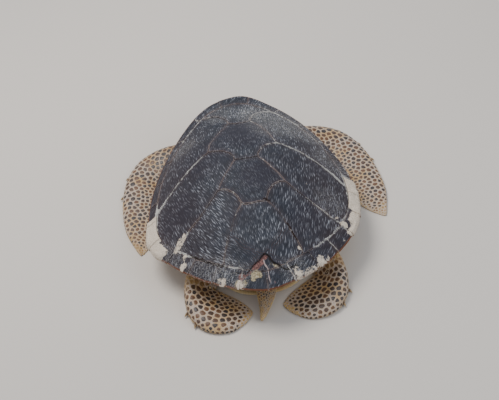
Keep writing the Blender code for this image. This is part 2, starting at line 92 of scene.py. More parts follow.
for name, place, aim, size, power, colour in (
    ("key", (-1.25, 0.9, 3.5), (0, 0, 0.1), 2.0, 130, (1.0, 0.97, 0.93)),
    ("fill", (2.4, -1.6, 2.2), (0, 0, 0.1), 2.5, 34, (0.90, 0.95, 1.0)),
    ("low", (1.1, 3.3, 1.2), (0, 0.2, 0.2), 1.2, 14, (1.0, 0.98, 0.95)),
):
    light = placed(name, bpy.data.lights.new(name, "AREA"))
    light.data.shape = "DISK"
    light.data.size = size
    light.data.energy = power
    light.data.color = colour
    light.location = place
    light.rotation_euler = (Vector(aim) - Vector(place)).to_track_quat("-Z", "Y").to_euler()
world = bpy.data.worlds.new("studio")
world.use_nodes = True
sky = world.node_tree.nodes["Background"].inputs
sky["Color"].default_value, sky["Strength"].default_value = (0.80, 0.87, 1.0, 1), 0.62
bpy.context.scene.world = world

floor_mesh = bpy.data.meshes.new("floor")
floor_mesh.from_pydata([(-9, -9, 0), (9, -9, 0), (9, 9, 0), (-9, 9, 0)], [], [(0, 1, 2, 3)])
floor = placed("floor", floor_mesh)
floor_paint = bpy.data.materials.new("floor")
floor_paint.use_nodes = True
floor_shader = floor_paint.node_tree.nodes["Principled BSDF"]
floor_shader.inputs["Base Color"].default_value = (0.62, 0.57, 0.51, 1)
floor_shader.inputs["Roughness"].default_value = 0.9
floor_mesh.materials.append(floor_paint)


# ------------------------------------------------------------------ form of the shell
# The carapace is a low dome over a heart-shaped outline, roofed along the midline. Its edge
# dips along the flanks and rises in front, over the neck, and a little behind.

SHELL_LENGTH, HALF_WIDTH, WIDEST = 0.83, 0.336, 0.52
CROWN, HIGHEST = 0.275, 0.395
FRONT_RIM, SIDE_RIM, REAR_RIM = 0.206, 0.097, 0.136
FRONT_CURVE, REAR_CURVE, DOME_CURVE = (1.90, 1.82), (2.3, 1.42), (2.12, 1.10)
FRONT_BAND, SIDE_BAND, REAR_BAND = 0.038, 0.031, 0.052


def held(value):
    return np.clip(value, 0, 1)


def unit(vectors):
    return vectors / np.linalg.norm(vectors, axis=-1, keepdims=True)


def along(share):
    return SHELL_LENGTH * (0.5 - share)


def curves(ahead):
    """The powers that shape the outline, lengthwise and across, ahead of its widest place and behind."""
    return (np.where(ahead, front, rear) for front, rear in zip(FRONT_CURVE, REAR_CURVE))


def half_width(y):
    ahead = y > along(WIDEST)
    reach = SHELL_LENGTH * np.where(ahead, WIDEST, 1 - WIDEST)
    share = held(np.abs(y - along(WIDEST)) / reach)
    lengthwise, across = curves(ahead)
    return HALF_WIDTH * (1 - share**lengthwise) ** (1 / across)


def rim_height(y):
    share = 0.5 - y / SHELL_LENGTH
    front = held((0.45 - share) / 0.45)
    rear = held((share - 0.45) / 0.55)
    return SIDE_RIM + (FRONT_RIM - SIDE_RIM) * front**2 + (REAR_RIM - SIDE_RIM) * rear**2


def dome(x, y):
    """Height of the shell's upper surface over a place in plan."""
    share = 0.5 - y / SHELL_LENGTH
    ahead = share < HIGHEST
    fall = np.where(ahead, (HIGHEST - share) / HIGHEST, (share - HIGHEST) / (1 - HIGHEST))
    fall = held(fall) ** np.where(ahead, 2.0, 2.2)
    edge = rim_height(y)
    ridge = edge + (CROWN - edge) * (1 - fall)
    across = held(np.abs(x) / np.maximum(half_width(y), 1e-6))
    return edge + (ridge - edge) * (1 - across ** DOME_CURVE[0]) ** DOME_CURVE[1]


def evenly(count, whole=2 * np.pi):
    """Values spread evenly from 0 over a whole round, without its end."""
    return np.linspace(0, whole, count + 1)[:-1]


def half_rim(samples=2880):
    """The edge of the shell in plan on the right side, front to rear, with its running length."""
    angle = np.linspace(0, np.pi, samples + 1)
    ahead = np.cos(angle) > 0
    lengthwise, across = curves(ahead)
    reach = SHELL_LENGTH * np.where(ahead, WIDEST, WIDEST - 1)
    x = HALF_WIDTH * np.abs(np.sin(angle)) ** (2 / across)
    y = along(WIDEST) + reach * np.abs(np.cos(angle)) ** (2 / lengthwise)
    running = np.concatenate([[0], np.cumsum(np.hypot(np.diff(x), np.diff(y)))])
    return x, y, running


RIM_X, RIM_Y, RIM_RUN = half_rim()


def rim_at(share):
    """Plan points of the edge for shares of the way from front to rear: the left side is below 0 or over 1."""
    share = np.asarray(share, float)
    folded = np.where(np.abs(share) > 1, 2 - np.abs(share), np.abs(share)) * RIM_RUN[-1]
    side = np.where(share < 0, -1, 1) * np.where(np.abs(share) > 1, -1, 1)
    return np.stack([side * np.interp(folded, RIM_RUN, RIM_X), np.interp(folded, RIM_RUN, RIM_Y)], -1)


def band_at(share, inward):
    """Plan points on the band of marginal scutes: inward is 0 at the edge and 1 at the inner seam."""
    share = np.asarray(share, float)
    tangent = unit(rim_at(share + 0.02) - rim_at(share - 0.02))
    turn = np.cos(np.pi * share)
    width = SIDE_BAND + (np.where(turn > 0, FRONT_BAND, REAR_BAND) - SIDE_BAND) * turn**2
    depth = (width * inward)[..., None]
    return rim_at(share) + np.stack([tangent[..., 1], -tangent[..., 0]], -1) * depth


# A grown shell is never quite even. Where it has settled outward, in plan: a centre, the reach
# of the shift, and the shift.
SETTLED = (
    (-0.080, 0.400, 0.130, -0.008, 0.020), (-0.335, -0.135, 0.090, -0.018, -0.012),
    (-0.100, 0.125, 0.070, -0.017, 0.000), (0.045, 0.420, 0.055, 0.000, 0.015),
)


def settled(plan):
    moved = plan.copy()
    for x, y, reach, right, ahead in SETTLED:
        near = np.exp(-((plan[:, 0] - x) ** 2 + (plan[:, 1] - y) ** 2) / reach**2)
        moved = moved + near[:, None] * (right, ahead)
    return moved


# ------------------------------------------------------------------ pattern of the scutes
# Five vertebral scutes along the back, four pairs of costals beside them. Each corner is a
# distance from the midline and a share of the shell's length from its front.

V1_END, C1_END, C2_END, C3_END, C4_END = 0.130, 0.517, 0.690, 0.866, 0.928
CORNER = {1: (0.036, 0.207), 2: (0.036, 0.470), 3: (0.038, 0.679), 4: (0.010, 0.876)}
APEX = {2: (0.103, 0.391), 3: (0.103, 0.595), 4: (0.086, 0.780)}
CROSS_BOWS = {1: 0.015, 2: 0.007, 3: 0.005, 4: 0.001}
SEAM_STEP = 0.004


def through(start, middle, end):
    """Plan points of a seam that bends through its middle spot, about every SEAM_STEP."""
    start, middle, end = (np.array((x, along(share))) for x, share in (start, middle, end))
    steps = max(3, int(np.linalg.norm(end - start) / SEAM_STEP))
    t = np.linspace(0, 1, steps + 1)[:, None]
    bend = 2 * middle - (start + end) / 2
    return (1 - t) ** 2 * start + 2 * t * (1 - t) * bend + t * t * end


def inner_seam(start, end):
    steps = max(3, int(abs(end - start) * RIM_RUN[-1] / SEAM_STEP))
    return band_at(np.linspace(start, end, steps + 1), 1.0)


def band_spot(share):
    x, y = band_at(share, 1.0)
    return x, 0.5 - y / SHELL_LENGTH


def joined(*runs):
    """One closed outline from runs of points whose ends meet."""
    points = np.concatenate([run for run in runs if len(run)])
    after = np.roll(points, -1, axis=0)
    return points[np.linalg.norm(after - points, axis=1) > 1e-6]


def mirrored(points):
    return points[::-1] * (-1, 1)


SIDE_FRONT = {
    2: through(CORNER[1], (0.080, 0.311), APEX[2]),
    3: through(CORNER[2], (0.078, 0.541), APEX[3]),
    4: through(CORNER[3], (0.065, 0.724), APEX[4]),
}
SIDE_REAR = {
    1: through(band_spot(V1_END), (0.060, 0.130), CORNER[1]),
    2: through(APEX[2], (0.057, 0.418), CORNER[2]),
    3: through(APEX[3], (0.062, 0.621), CORNER[3]),
    4: through(APEX[4], (0.050, 0.836), CORNER[4]),
    5: through(CORNER[4], (0.037, 0.902), band_spot(C4_END)),
}
CROSS = {n: through((x, s), (0, s + CROSS_BOWS[n]), (-x, s)) for n, (x, s) in CORNER.items()}
CROSS[5] = inner_seam(C4_END, 2 - C4_END)
COSTAL_SEAM = {
    1: through(APEX[2], (0.208, 0.440), band_spot(C1_END)),
    2: through(APEX[3], (0.176, 0.678), band_spot(C2_END)),
    3: through(APEX[4], (0.106, 0.828), band_spot(C3_END)),
}
NONE = np.zeros((0, 2))

# name: outline, and the part of it whose edge overlaps the next scute.
SCUTES = {}
for n in (1, 2, 3, 4, 5):
    side = np.concatenate([SIDE_FRONT.get(n, NONE), SIDE_REAR[n]])
    front = CROSS[n - 1][::-1] if n > 1 else inner_seam(-V1_END, V1_END)
    outline = joined(front, side, CROSS[n], mirrored(side))
    trailing = np.concatenate([SIDE_REAR[n], CROSS[n], mirrored(SIDE_REAR[n])])
    SCUTES[f"vertebral_{n}"] = outline, trailing
COSTAL_ENDS = (V1_END, C1_END, C2_END, C3_END, C4_END)
for n, (start, end) in enumerate(zip(COSTAL_ENDS, COSTAL_ENDS[1:]), 1):
    inner = np.concatenate([SIDE_REAR[n], SIDE_FRONT.get(n + 1, SIDE_REAR[5])])[::-1]
    rear = COSTAL_SEAM[n][::-1] if n < 4 else NONE
    front = COSTAL_SEAM[n - 1] if n > 1 else NONE
    outer = inner_seam(start, end)
    outline = joined(front, outer, rear, inner)
    trailing = np.concatenate([outer[len(outer) // 2 :], rear])
    SCUTES[f"costal_{n}_right"] = outline, trailing
    SCUTES[f"costal_{n}_left"] = mirrored(outline), mirrored(trailing)


# ------------------------------------------------------------------ horn of the shell
# Thick old horn, slate brown under a bluish bloom that is partly a painted sky sheen,
# scoured in one direction on each scute by sand and coral, with pale sand packed in the seams
# and caked on low places of the edge.


def fill(socket, value):
    """Links a socket to another one, or sets its value."""
    if isinstance(value, bpy.types.NodeSocket):
        socket.id_data.links.new(value, socket)
    else:
        socket.default_value = value


def add(tree, kind, output=0, **settings):
    """A node with its inputs, links and options given by name. Returns one of its outputs."""
    made = tree.nodes.new("ShaderNode" + kind)
    for name, value in settings.items():
        if name.replace("_", " ") in made.inputs:
            fill(made.inputs[name.replace("_", " ")], value)
        else:
            setattr(made, name, value)
    return made.outputs[output]


def calc(operation, *values):
    """Arithmetic on values of which at least one is a socket."""
    tree = next(value.id_data for value in values if isinstance(value, bpy.types.NodeSocket))
    made = tree.nodes.new("ShaderNodeMath")
    made.operation = operation
    for socket, value in zip(made.inputs, values):
        fill(socket, value)
    return made.outputs[0]


def times(first, second):
    return calc("MULTIPLY", first, second)


def scaled(value, by, plus):
    """value times by, plus something more."""
    return calc("MULTIPLY_ADD", value, by, plus)


def ragged_by(grain_value, size, value):
    """A value made uneven by a grain, up or down by half of a size."""
    return scaled(calc("SUBTRACT", grain_value, 0.5), size, value)


def blend_of(share, low, high):
    """A colour between low and high, each a socket or a colour."""
    made = share.id_data.nodes.new("ShaderNodeMix")
    made.data_type = "RGBA"
    for socket, value in ((made.inputs[0], share), (made.inputs[6], low), (made.inputs[7], high)):
        fill(socket, (*value, 1) if isinstance(value, tuple) else value)
    return made.outputs[2]


def ramp(value, low, high, to_low=0.0, to_high=1.0):
    """value carried from low..high to to_low..to_high, smooth and clamped."""
    ends = {"From_Min": low, "From_Max": high, "To_Min": to_low, "To_Max": to_high}
    return add(value.id_data, "MapRange", interpolation_type="SMOOTHSTEP", Value=value, **ends)


def grain(place, scale, detail=2.0, roughness=0.5, size=(1, 1, 1), turn=0.0):
    """Noise read at a place, stretched by size and turned about Z."""
    tree = place.id_data
    if turn or size != (1, 1, 1):
        turned = add(tree, "Mapping", Vector=place, Rotation=(0, 0, turn))
        place = add(tree, "Mapping", Vector=turned, Scale=size)
    return add(tree, "TexNoise", Vector=place, Scale=scale, Detail=detail, Roughness=roughness)


def attribute(tree, name):
    return add(tree, "Attribute", output=2, attribute_name=name)


def growth_rings(cloud, uneven, far, per_metre):
    """Waves that follow an edge, from the distance to it."""
    return calc("SINE", times(scaled(cloud, uneven, far), per_metre))


def new_material(name):
    """A material with its node tree, its shader and the place on the object."""
    material = bpy.data.materials.new(name)
    material.use_nodes = True
    tree = material.node_tree
    return material, tree, tree.nodes["Principled BSDF"], add(tree, "TexCoord", output=3)


def surfaced(shader, colour, roughness, relief, strength, depth):
    """Links a shader to its colour, roughness and relief."""
    fill(shader.inputs["Base Color"], colour)
    fill(shader.inputs["Roughness"], roughness)
    bump = add(shader.id_data, "Bump", Strength=strength, Distance=depth, Height=relief)
    fill(shader.inputs["Normal"], bump)


# The bluish bloom colour is partly the horn's own bloom and partly a painted sky reflection.
SLATE, BLOOM_AND_SKY_SHEEN, PURPLE = (0.018, 0.020, 0.029), (0.058, 0.068, 0.095), (0.034, 0.024, 0.029)
SMOOTH_HORN = (0.026, 0.021, 0.030)
RAW_HORN, RAW_SHADE = (0.215, 0.105, 0.090), (0.060, 0.026, 0.025)
RAW_PALE, RAW_YELLOW = (0.44, 0.38, 0.27), (0.27, 0.22, 0.12)
RUST, SAND, SAND_SHADE = (0.14, 0.055, 0.028), (0.72, 0.63, 0.52), (0.44, 0.36, 0.27)
SILT, SILT_SHADE = (0.50, 0.50, 0.48), (0.22, 0.22, 0.215)  # the finer sand in the seams
UNDER_HORN, UNDER_BLOTCH = (0.62, 0.47, 0.24), (0.075, 0.045, 0.028)
# Layers of scratches: turn from the scour, distance apart, length, share of each lane.
SCRATCHES = ((0, 0.0098, 0.060, 0.70), (0.08, 0.0083, 0.034, 0.62), (-0.11, 0.0121, 0.045, 0.55))


def scratches(tree, place, turn, apart, length, share):
    """Fine scratches lying one way, in lanes some distance apart: a share of each lane is scratched."""
    shifted = (3.1 * share, 5.3 * share, 0)
    turned = add(tree, "Mapping", Vector=place, Rotation=(0, 0, turn), Location=shifted)
    lane = calc("DIVIDE", add(tree, "SeparateXYZ", Vector=turned), apart)
    lane = scaled(grain(turned, 16, 1), 1.6, lane)
    which = calc("FLOOR", lane)
    start = add(tree, "TexWhiteNoise", noise_dimensions="1D", W=which)
    along = calc("DIVIDE", add(tree, "SeparateXYZ", output=1, Vector=turned), length)
    along = scaled(start, 9.0, along)
    spot = add(tree, "CombineXYZ", X=which, Y=calc("FLOOR", along))
    luck = add(tree, "TexWhiteNoise", noise_dimensions="2D", Vector=spot)
    colourful = add(tree, "TexWhiteNoise", output=1, noise_dimensions="2D", Vector=spot)
    shift = add(tree, "SeparateXYZ", Vector=colourful)
    aside = calc("SUBTRACT", calc("FRACT", lane), scaled(shift, 0.5, 0.25))
    taper = calc("PINGPONG", along, 0.5)
    width = times(ramp(taper, 0.0, 0.48, -0.04, 0.21), calc("POWER", luck, 1.1))
    line = calc("SUBTRACT", width, calc("ABSOLUTE", aside))
    return times(ramp(line, -0.02, 0.09), ramp(luck, 0.90 - share, 1.4 - share))


def horn(name, scour, worn=1.0, coarse=0.62):
    """Shell horn, scoured in a direction that is turned by scour from the turtle's length."""
    material, tree, shader, place = new_material(name)
    x = add(tree, "SeparateXYZ", Vector=place)
    out = calc("ABSOLUTE", x)
    cloud = grain(place, 9, 4)
    mottle = grain(place, 45, 5, 0.65)
    fine = grain(place, 420, 3, 0.7)
    ragged = grain(place, 95, 5, 0.7)
    edge = attribute(tree, "edge")

    drift = add(tree, "TexNoise", output=1, Vector=place, Scale=7.0, Detail=1.0)
    bent = add(tree, "VectorMath", operation="MULTIPLY_ADD")
    for socket, value in zip(bent.node.inputs, (drift, (0.03, 0.03, 0.0), place)):
        fill(socket, value)
    hair = ramp(grain(bent, 1, 3, 0.65, (1150, 34, 110), scour), 0.46, 0.60)
    stroke = 0.0
    for turn, apart, length, share in SCRATCHES:
        layer = scratches(tree, bent, scour + turn, apart * coarse, length * coarse, share)
        stroke = calc("MAXIMUM", stroke, layer)
    smooth = attribute(tree, "smooth")
    side = ramp(scaled(cloud, 0.22, out), 0.14, 0.38)
    colour = blend_of(side, SLATE, PURPLE)
    # Painted sky sheen: the bluish layer is mottled, strongest toward the midline and weaker on the flanks.
    bloom_and_sheen = times(ramp(mottle, 0.36, 0.72), scaled(side, -0.5, 1.0))
    colour = blend_of(times(bloom_and_sheen, 0.38), colour, BLOOM_AND_SKY_SHEEN)
    colour = blend_of(ramp(stroke, 0.0, 0.3, 0.35, 0.0), colour, (0.008, 0.009, 0.012))
    colour = blend_of(times(smooth, 0.55), colour, SMOOTH_HORN)

    where = ramp(grain(place, 14, 3), 0.34, 0.60, 0.35 * worn, 0.95 * worn)
    where = times(where, scaled(smooth, -0.65, 1.0))
    broken = ramp(scaled(fine, 0.5, times(hair, 0.3)), 0.20, 0.46, 0.25, 1.15)
    scratch = times(stroke, broken)
    scratch = calc("MAXIMUM", times(hair, 0.13), scratch)
    scratch = times(scratch, where)
    colour = blend_of(times(scratch, 0.90), colour, (0.34, 0.35, 0.38))

    rings = growth_rings(mottle, 0.006, edge, 1500)
    rings = times(rings, ramp(edge, 0.004, 0.030, 1.0, 0.0))
    colour = blend_of(ramp(rings, 0.3, 1.0, 0.0, 0.35), colour, (0.075, 0.038, 0.030))

    rust = attribute(tree, "rust")
    colour = blend_of(ramp(scaled(mottle, 0.7, rust), 0.62, 1.05), colour, RUST)
    raw = attribute(tree, "raw")
    raw_colour = blend_of(ramp(grain(place, 190, 4, 0.75), 0.42, 0.56), RAW_HORN, RAW_SHADE)
    chip = scaled(grain(place, 120, 4, 0.7), 0.9, times(mottle, 0.4))
    colour = blend_of(ramp(calc("ADD", chip, raw), 1.00, 1.12), colour, raw_colour)
    flaky = grain(place, 230, 4, 0.75)
    pale_colour = blend_of(ramp(flaky, 0.40, 0.52), RAW_PALE, RAW_YELLOW)
    pale_colour = blend_of(ramp(flaky, 0.54, 0.60, 0.0, 0.8), pale_colour, (0.075, 0.050, 0.036))
    pale_share = ramp(calc("ADD", chip, attribute(tree, "pale")), 1.00, 1.20)
    colour = blend_of(pale_share, colour, pale_colour)
    stripe = ragged_by(mottle, 0.006, attribute(tree, "stripe"))
    colour = blend_of(ramp(stripe, 0.0006, 0.0020, 0.65, 0.0), colour, (0.46, 0.36, 0.34))
    under = attribute(tree, "under")
    blotch = ramp(grain(place, 22, 3, 0.6), 0.50, 0.56)
    pale = blend_of(blotch, UNDER_HORN, UNDER_BLOTCH)
    colour = blend_of(ramp(under, 0.35, 0.65), colour, pale)

    growth = times(ramp(edge, 0.0003, 0.0010), ramp(edge, 0.0016, 0.0030, 1.0, 0.0))
    growth = times(growth, ramp(cloud, 0.36, 0.62, 0.15, 0.8))
    colour = blend_of(growth, colour, (0.20, 0.145, 0.125))
    # The seams get a thin dark line. The crack is painted near-black from its raised lip back over the sunken horn,
    # wider on the right: a painted shadow under the overhanging lip.
    crack = ragged_by(ragged, 0.007, attribute(tree, "crack"))
    crack_shadow_reach = ramp(x, -0.02, 0.01, 0.0012, 0.0042)
    crack = times(ramp(crack, -0.0012, -0.0003), calc("LESS_THAN", crack, crack_shadow_reach))
    gap = calc("MAXIMUM", ramp(edge, 0.0001, 0.0007, 0.32, 0.0), times(crack, 0.95))
    colour = blend_of(gap, colour, (0.012, 0.009, 0.009))
    opened = ragged_by(ragged, 0.014, attribute(tree, "opened"))
    colour = blend_of(ramp(opened, 0.0014, 0.0036, 0.95, 0.0), colour, (0.014, 0.007, 0.006))

    packed = scaled(edge, -140, attribute(tree, "seam_sand"))
    frayed = calc("ADD", ragged, scaled(fine, 0.6, -0.8))
    packed = scaled(frayed, 2.2, packed)
    caked = ragged_by(mottle, 1.5, attribute(tree, "crust"))
    caked = ragged_by(ragged, 1.5, caked)
    salt = grain(place, 260, 3, 0.7)
    dusted = times(attribute(tree, "dust"), ramp(salt, 0.50, 0.60))
    sand = calc("MAXIMUM", calc("MAXIMUM", ramp(packed, 0.12, 0.34), ramp(caked, 0.42, 0.62)), dusted)
    sand_colour = blend_of(ramp(fine, 0.35, 0.65), SAND_SHADE, SAND)
    in_seam = ramp(caked, 0.30, 0.50, 0.85, 0.0)
    sand_colour = blend_of(in_seam, sand_colour, blend_of(ramp(fine, 0.3, 0.6), SILT_SHADE, SILT))
    colour = blend_of(sand, colour, sand_colour)

    matt = scaled(scratch, 0.15, ramp(mottle, 0.3, 0.7, 0.54, 0.66))
    matt = add(tree, "Mix", data_type="FLOAT", Factor=sand, A=matt, B=0.92)
    shader.inputs["IOR"].default_value = 1.54
    shader.inputs["Specular IOR Level"].default_value = 0.14

    relief = times(scratch, -0.35)
    relief = scaled(rings, 0.25, relief)
    relief = scaled(mottle, 0.9, relief)
    relief = scaled(times(fine, sand), 1.3, relief)
    surfaced(shader, colour, matt, relief, 0.6, 0.0009)
    return material


# ------------------------------------------------------------------ where sand and wear lie
# Sand stays in the seams across the flanks, on the low edge, and as dust over the shoulders.
# The horn has broken away over the tail, where it shows red-brown layers.

# Each place: distance right of the midline, distance ahead of the middle, radius, amount.
SEAM_SAND = (
    (0.16, 0.06, 0.09, 0.44), (0.28, -0.02, 0.08, 0.85), (-0.20, 0.03, 0.09, 0.46),
    (-0.29, -0.04, 0.07, 0.80), (0.13, 0.29, 0.09, 0.50), (-0.15, 0.31, 0.08, 0.36),
    (0.065, 0.27, 0.05, 0.34), (0.235, -0.165, 0.06, 0.40), (-0.232, -0.185, 0.030, 0.66),
    (-0.240, -0.210, 0.030, 0.52), (-0.230, -0.240, 0.030, 0.50), (0.19, -0.265, 0.05, 0.32),
    (0.235, -0.233, 0.04, 0.34), (0.253, -0.236, 0.03, 0.32), (0.07, -0.38, 0.04, 0.40),
    (-0.10, -0.36, 0.06, 0.34), (0.23, 0.19, 0.07, 0.34), (-0.02, -0.10, 0.06, 0.22),
    (0.21, -0.10, 0.06, 0.34),
)
CRUST = (
    (-0.238, -0.188, 0.017, 0.62), (-0.226, -0.176, 0.010, 0.60), (-0.248, -0.204, 0.016, 0.60),
    (-0.238, -0.264, 0.017, 0.60), (-0.232, -0.240, 0.010, 0.56), (-0.133, -0.356, 0.018, 0.58),
    (-0.135, -0.366, 0.013, 0.65), (-0.080, -0.386, 0.020, 0.54), (0.092, -0.364, 0.015, 0.58),
    (0.170, -0.327, 0.018, 0.61), (0.112, -0.300, 0.009, 0.72), (0.264, -0.193, 0.014, 0.80),
    (0.246, -0.178, 0.010, 0.52),
)
DUST = (
    (0.06, 0.30, 0.08, 0.62), (0.17, 0.25, 0.11, 0.52), (0.09, 0.19, 0.07, 0.34), (-0.05, 0.33, 0.07, 0.30),
    (-0.14, -0.35, 0.07, 0.42), (0.28, 0.08, 0.07, 0.30), (0.09, -0.37, 0.05, 0.30), (-0.09, -0.36, 0.05, 0.30),
    (0.24, -0.13, 0.06, 0.22), (-0.27, -0.22, 0.05, 0.32), (-0.20, 0.22, 0.05, 0.32), (-0.20, -0.30, 0.05, 0.30),
)
SMOOTH = (
    (0.01, 0.155, 0.10, 0.80), (0.02, -0.055, 0.07, 0.85), (-0.12, 0.06, 0.08, 0.60), (-0.24, -0.08, 0.07, 0.75),
    (-0.20, 0.12, 0.08, 0.50), (0.24, 0.02, 0.06, 0.60), (-0.05, -0.17, 0.06, 0.50), (0.15, -0.20, 0.06, 0.55),
    (-0.29, 0.06, 0.07, 0.60),
)
# Sand caked along the rim: shares of the way round, how much, and the band it covers from edge to seam.
CAKED = (
    (-0.630, -0.517, 1.0, -0.1, 1.08), (-0.678, -0.578, 1.0, -0.1, 0.86), (0.468, 0.612, 1.0, -0.1, 1.12),
    (0.582, 0.664, 1.0, -0.1, 0.80), (0.635, 0.705, 1.0, -0.1, 0.46), (0.800, 0.930, 0.62, -0.2, 0.34),
    (0.350, 0.455, 0.45, -0.3, 0.30),
)
BREAK, BREAK_REACH = (0.0, -0.342), 0.055  # the broken place over the tail, in plan
# The crack there, from its left end over its apex to its right end: the horn behind it has sunk.
CRACK = np.array((
    (-0.089, -0.344), (-0.080, -0.348), (-0.072, -0.353), (-0.059, -0.356), (-0.046, -0.352), (-0.034, -0.342),
    (-0.023, -0.334), (-0.013, -0.329), (-0.003, -0.316), (0.006, -0.311), (0.016, -0.318), (0.021, -0.329),
    (0.027, -0.340), (0.038, -0.344), (0.047, -0.351), (0.056, -0.358), (0.068, -0.358), (0.078, -0.353),
    (0.090, -0.347),
))
# Seams that have opened, painted near-black along their line.
OPENED = (
    np.array(((-0.217, -0.243), (-0.197, -0.257), (-0.164, -0.288), (-0.135, -0.309), (-0.112, -0.322))),
    np.array(((0.028, -0.143), (0.036, -0.146), (0.047, -0.153), (0.058, -0.161))),
    np.array(((0.088, -0.228), (0.093, -0.241), (0.101, -0.262), (0.108, -0.278))),
)
STRIPE = np.array(((-0.001, -0.328), (0.001, -0.343), (0.008, -0.357), (0.007, -0.378), (0.009, -0.398)))
RAW = (
    (-0.028, -0.343, 0.018, 0.58), (0.003, -0.319, 0.014, 0.58), (-0.012, -0.334, 0.017, 0.58),
    (-0.070, -0.362, 0.016, 0.52), (-0.050, -0.357, 0.014, 0.46), (0.009, -0.328, 0.012, 0.41),
    (-0.107, -0.378, 0.016, 0.41), (0.020, -0.400, 0.016, 0.29),
)
PALE = (
    (-0.030, -0.366, 0.019, 0.64), (-0.037, -0.373, 0.014, 0.56), (-0.018, -0.372, 0.013, 0.52),
    (-0.086, -0.378, 0.016, 0.47), (-0.064, -0.381, 0.016, 0.47), (-0.125, -0.364, 0.013, 0.36),
    (0.036, -0.352, 0.012, 0.40), (0.022, -0.344, 0.010, 0.38), (-0.020, -0.350, 0.010, 0.26),
)
WEAR = {"seam_sand": SEAM_SAND, "crust": CRUST, "dust": DUST, "smooth": SMOOTH}


def distance_to(points, line):
    """Distance in plan from each point to a run of points."""
    start, step = line[:-1], np.diff(line, axis=0)
    offset = points[:, None] - start
    share = held((offset * step).sum(-1) / np.maximum((step**2).sum(-1), 1e-12))
    return np.linalg.norm(offset - share[..., None] * step, axis=-1).min(1)


def distance_to_any(points, lines):
    return np.min([distance_to(points, line) for line in lines], axis=0)


def amount(points, places):
    """How strongly a list of places covers each plan point."""
    total = np.zeros(len(points))
    for x, y, reach, strength in places:
        far = np.hypot(points[:, 0] - x, points[:, 1] - y) / reach
        total = np.maximum(total, strength * held(1.25 - far**2))
    return total


def near_break(points):
    far = np.hypot(points[:, 0] - BREAK[0], points[:, 1] - BREAK[1]) / BREAK_REACH
    return np.exp(-(far**2) * 1.2)


def behind_crack(points):
    """Signed distance in plan from the crack: above 0 on its sunken side, and large where it doesn't run."""
    far = distance_to(points, CRACK)
    return np.clip(np.where(points[:, 1] < np.interp(points[:, 0], *CRACK.T), far, -far), -0.04, 0.04)


def swell(points, scale, seed):
    """Smooth noise at plan points."""
    return np.array([noise.fractal(Vector((x * scale, y * scale, seed)), 1.0, 2.0, 3) for x, y in points])


def broken_relief(points, crack):
    """The sunken, flaking horn behind the crack and the raised lip ahead of it."""
    fray = 0.5 + 0.5 * swell(points, 130, 9.0)
    sunk = np.where(crack > 0, 0.0030 * np.exp(-crack / 0.030) * held(crack / 0.0012), 0)
    flakes = 0.0011 * np.floor(3 * fray) / 3 * (crack > 0) * np.exp(-crack / 0.025)
    lip = np.where(crack <= 0, 0.0011 * np.exp(crack / 0.007), 0)
    return lip - sunk - flakes


def wander(points):
    """Seams as they grow, never quite even, and ragged where the horn has broken."""
    x, y = points.T
    size = np.stack([np.full(len(points), 0.0009), np.full(len(points), 0.0005), near_break(points) * 0.0013])
    shift_x = np.sin([71 * x + 83 * y, 240 * y - 130 * x, 310 * y + 240 * x])
    shift_y = np.sin([67 * y - 91 * x, 260 * x + 90 * y, 390 * x - 170 * y])
    return points + np.stack([(size * shift_x).sum(0), (size * shift_y).sum(0)], -1)


def wear(spots, grown, **own):
    """The horn's named values at places in plan, as they have settled and as they grew."""
    crack = behind_crack(grown)
    broken = crack > -0.001
    values = {name: amount(spots, places) for name, places in WEAR.items()}
    values |= {"raw": amount(grown, RAW) * broken, "pale": amount(grown, PALE) * broken, "crack": crack}
    values |= {"stripe": distance_to(grown, STRIPE), "opened": distance_to_any(spots, OPENED)}
    return {"rust": np.zeros(len(spots)), "under": np.zeros(len(spots))} | values | own


# ------------------------------------------------------------------ vertebral and costal scutes
# Plates of horn like roof tiles: each one's rear edge is thick and lies over the next scute,
# and its front edge is drawn in under the one ahead.

SEAM_GAP, THICKNESS = 0.0003, 0.006
OVERLAP_LIFT, OVERLAP_REACH = 0.0013, 0.016
CELL, FINE_CELL, EDGE_RINGS = 0.0055, 0.0022, (0.0006, 0.0014, 0.0030)  # spacing of the mesh
BROKEN_SCUTES = ("vertebral_5", "vertebral_4", "costal_4_left", "costal_4_right")
NO_RING = np.zeros((0, 3))


def inset(outline, distance):
    before = outline - np.roll(outline, 1, axis=0)
    after = np.roll(outline, -1, axis=0) - outline
    sideways = (np.stack([-run[:, 1], run[:, 0]], -1) for run in (before, after))
    normal = unit(sum(unit(run) for run in sideways))
    turn = np.sum(outline[:, 0] * after[:, 1] - outline[:, 1] * after[:, 0])
    return outline + normal * math.copysign(distance, turn)


def inside(points, outline):
    """Which points lie inside a closed outline."""
    odd = np.zeros(len(points), bool)
    for (ax, ay), (bx, by) in zip(outline, np.roll(outline, -1, axis=0)):
        if ay != by:
            crosses = (ay > points[:, 1]) != (by > points[:, 1])
            odd ^= crosses & (points[:, 0] < ax + (bx - ax) * (points[:, 1] - ay) / (by - ay))
    return odd


def store(mesh, values):
    """Keeps named values at the vertices of a mesh."""
    for key, series in values.items():
        mesh.attributes.new(key, "FLOAT", "POINT").data.foreach_set("value", np.asarray(series, np.float32))


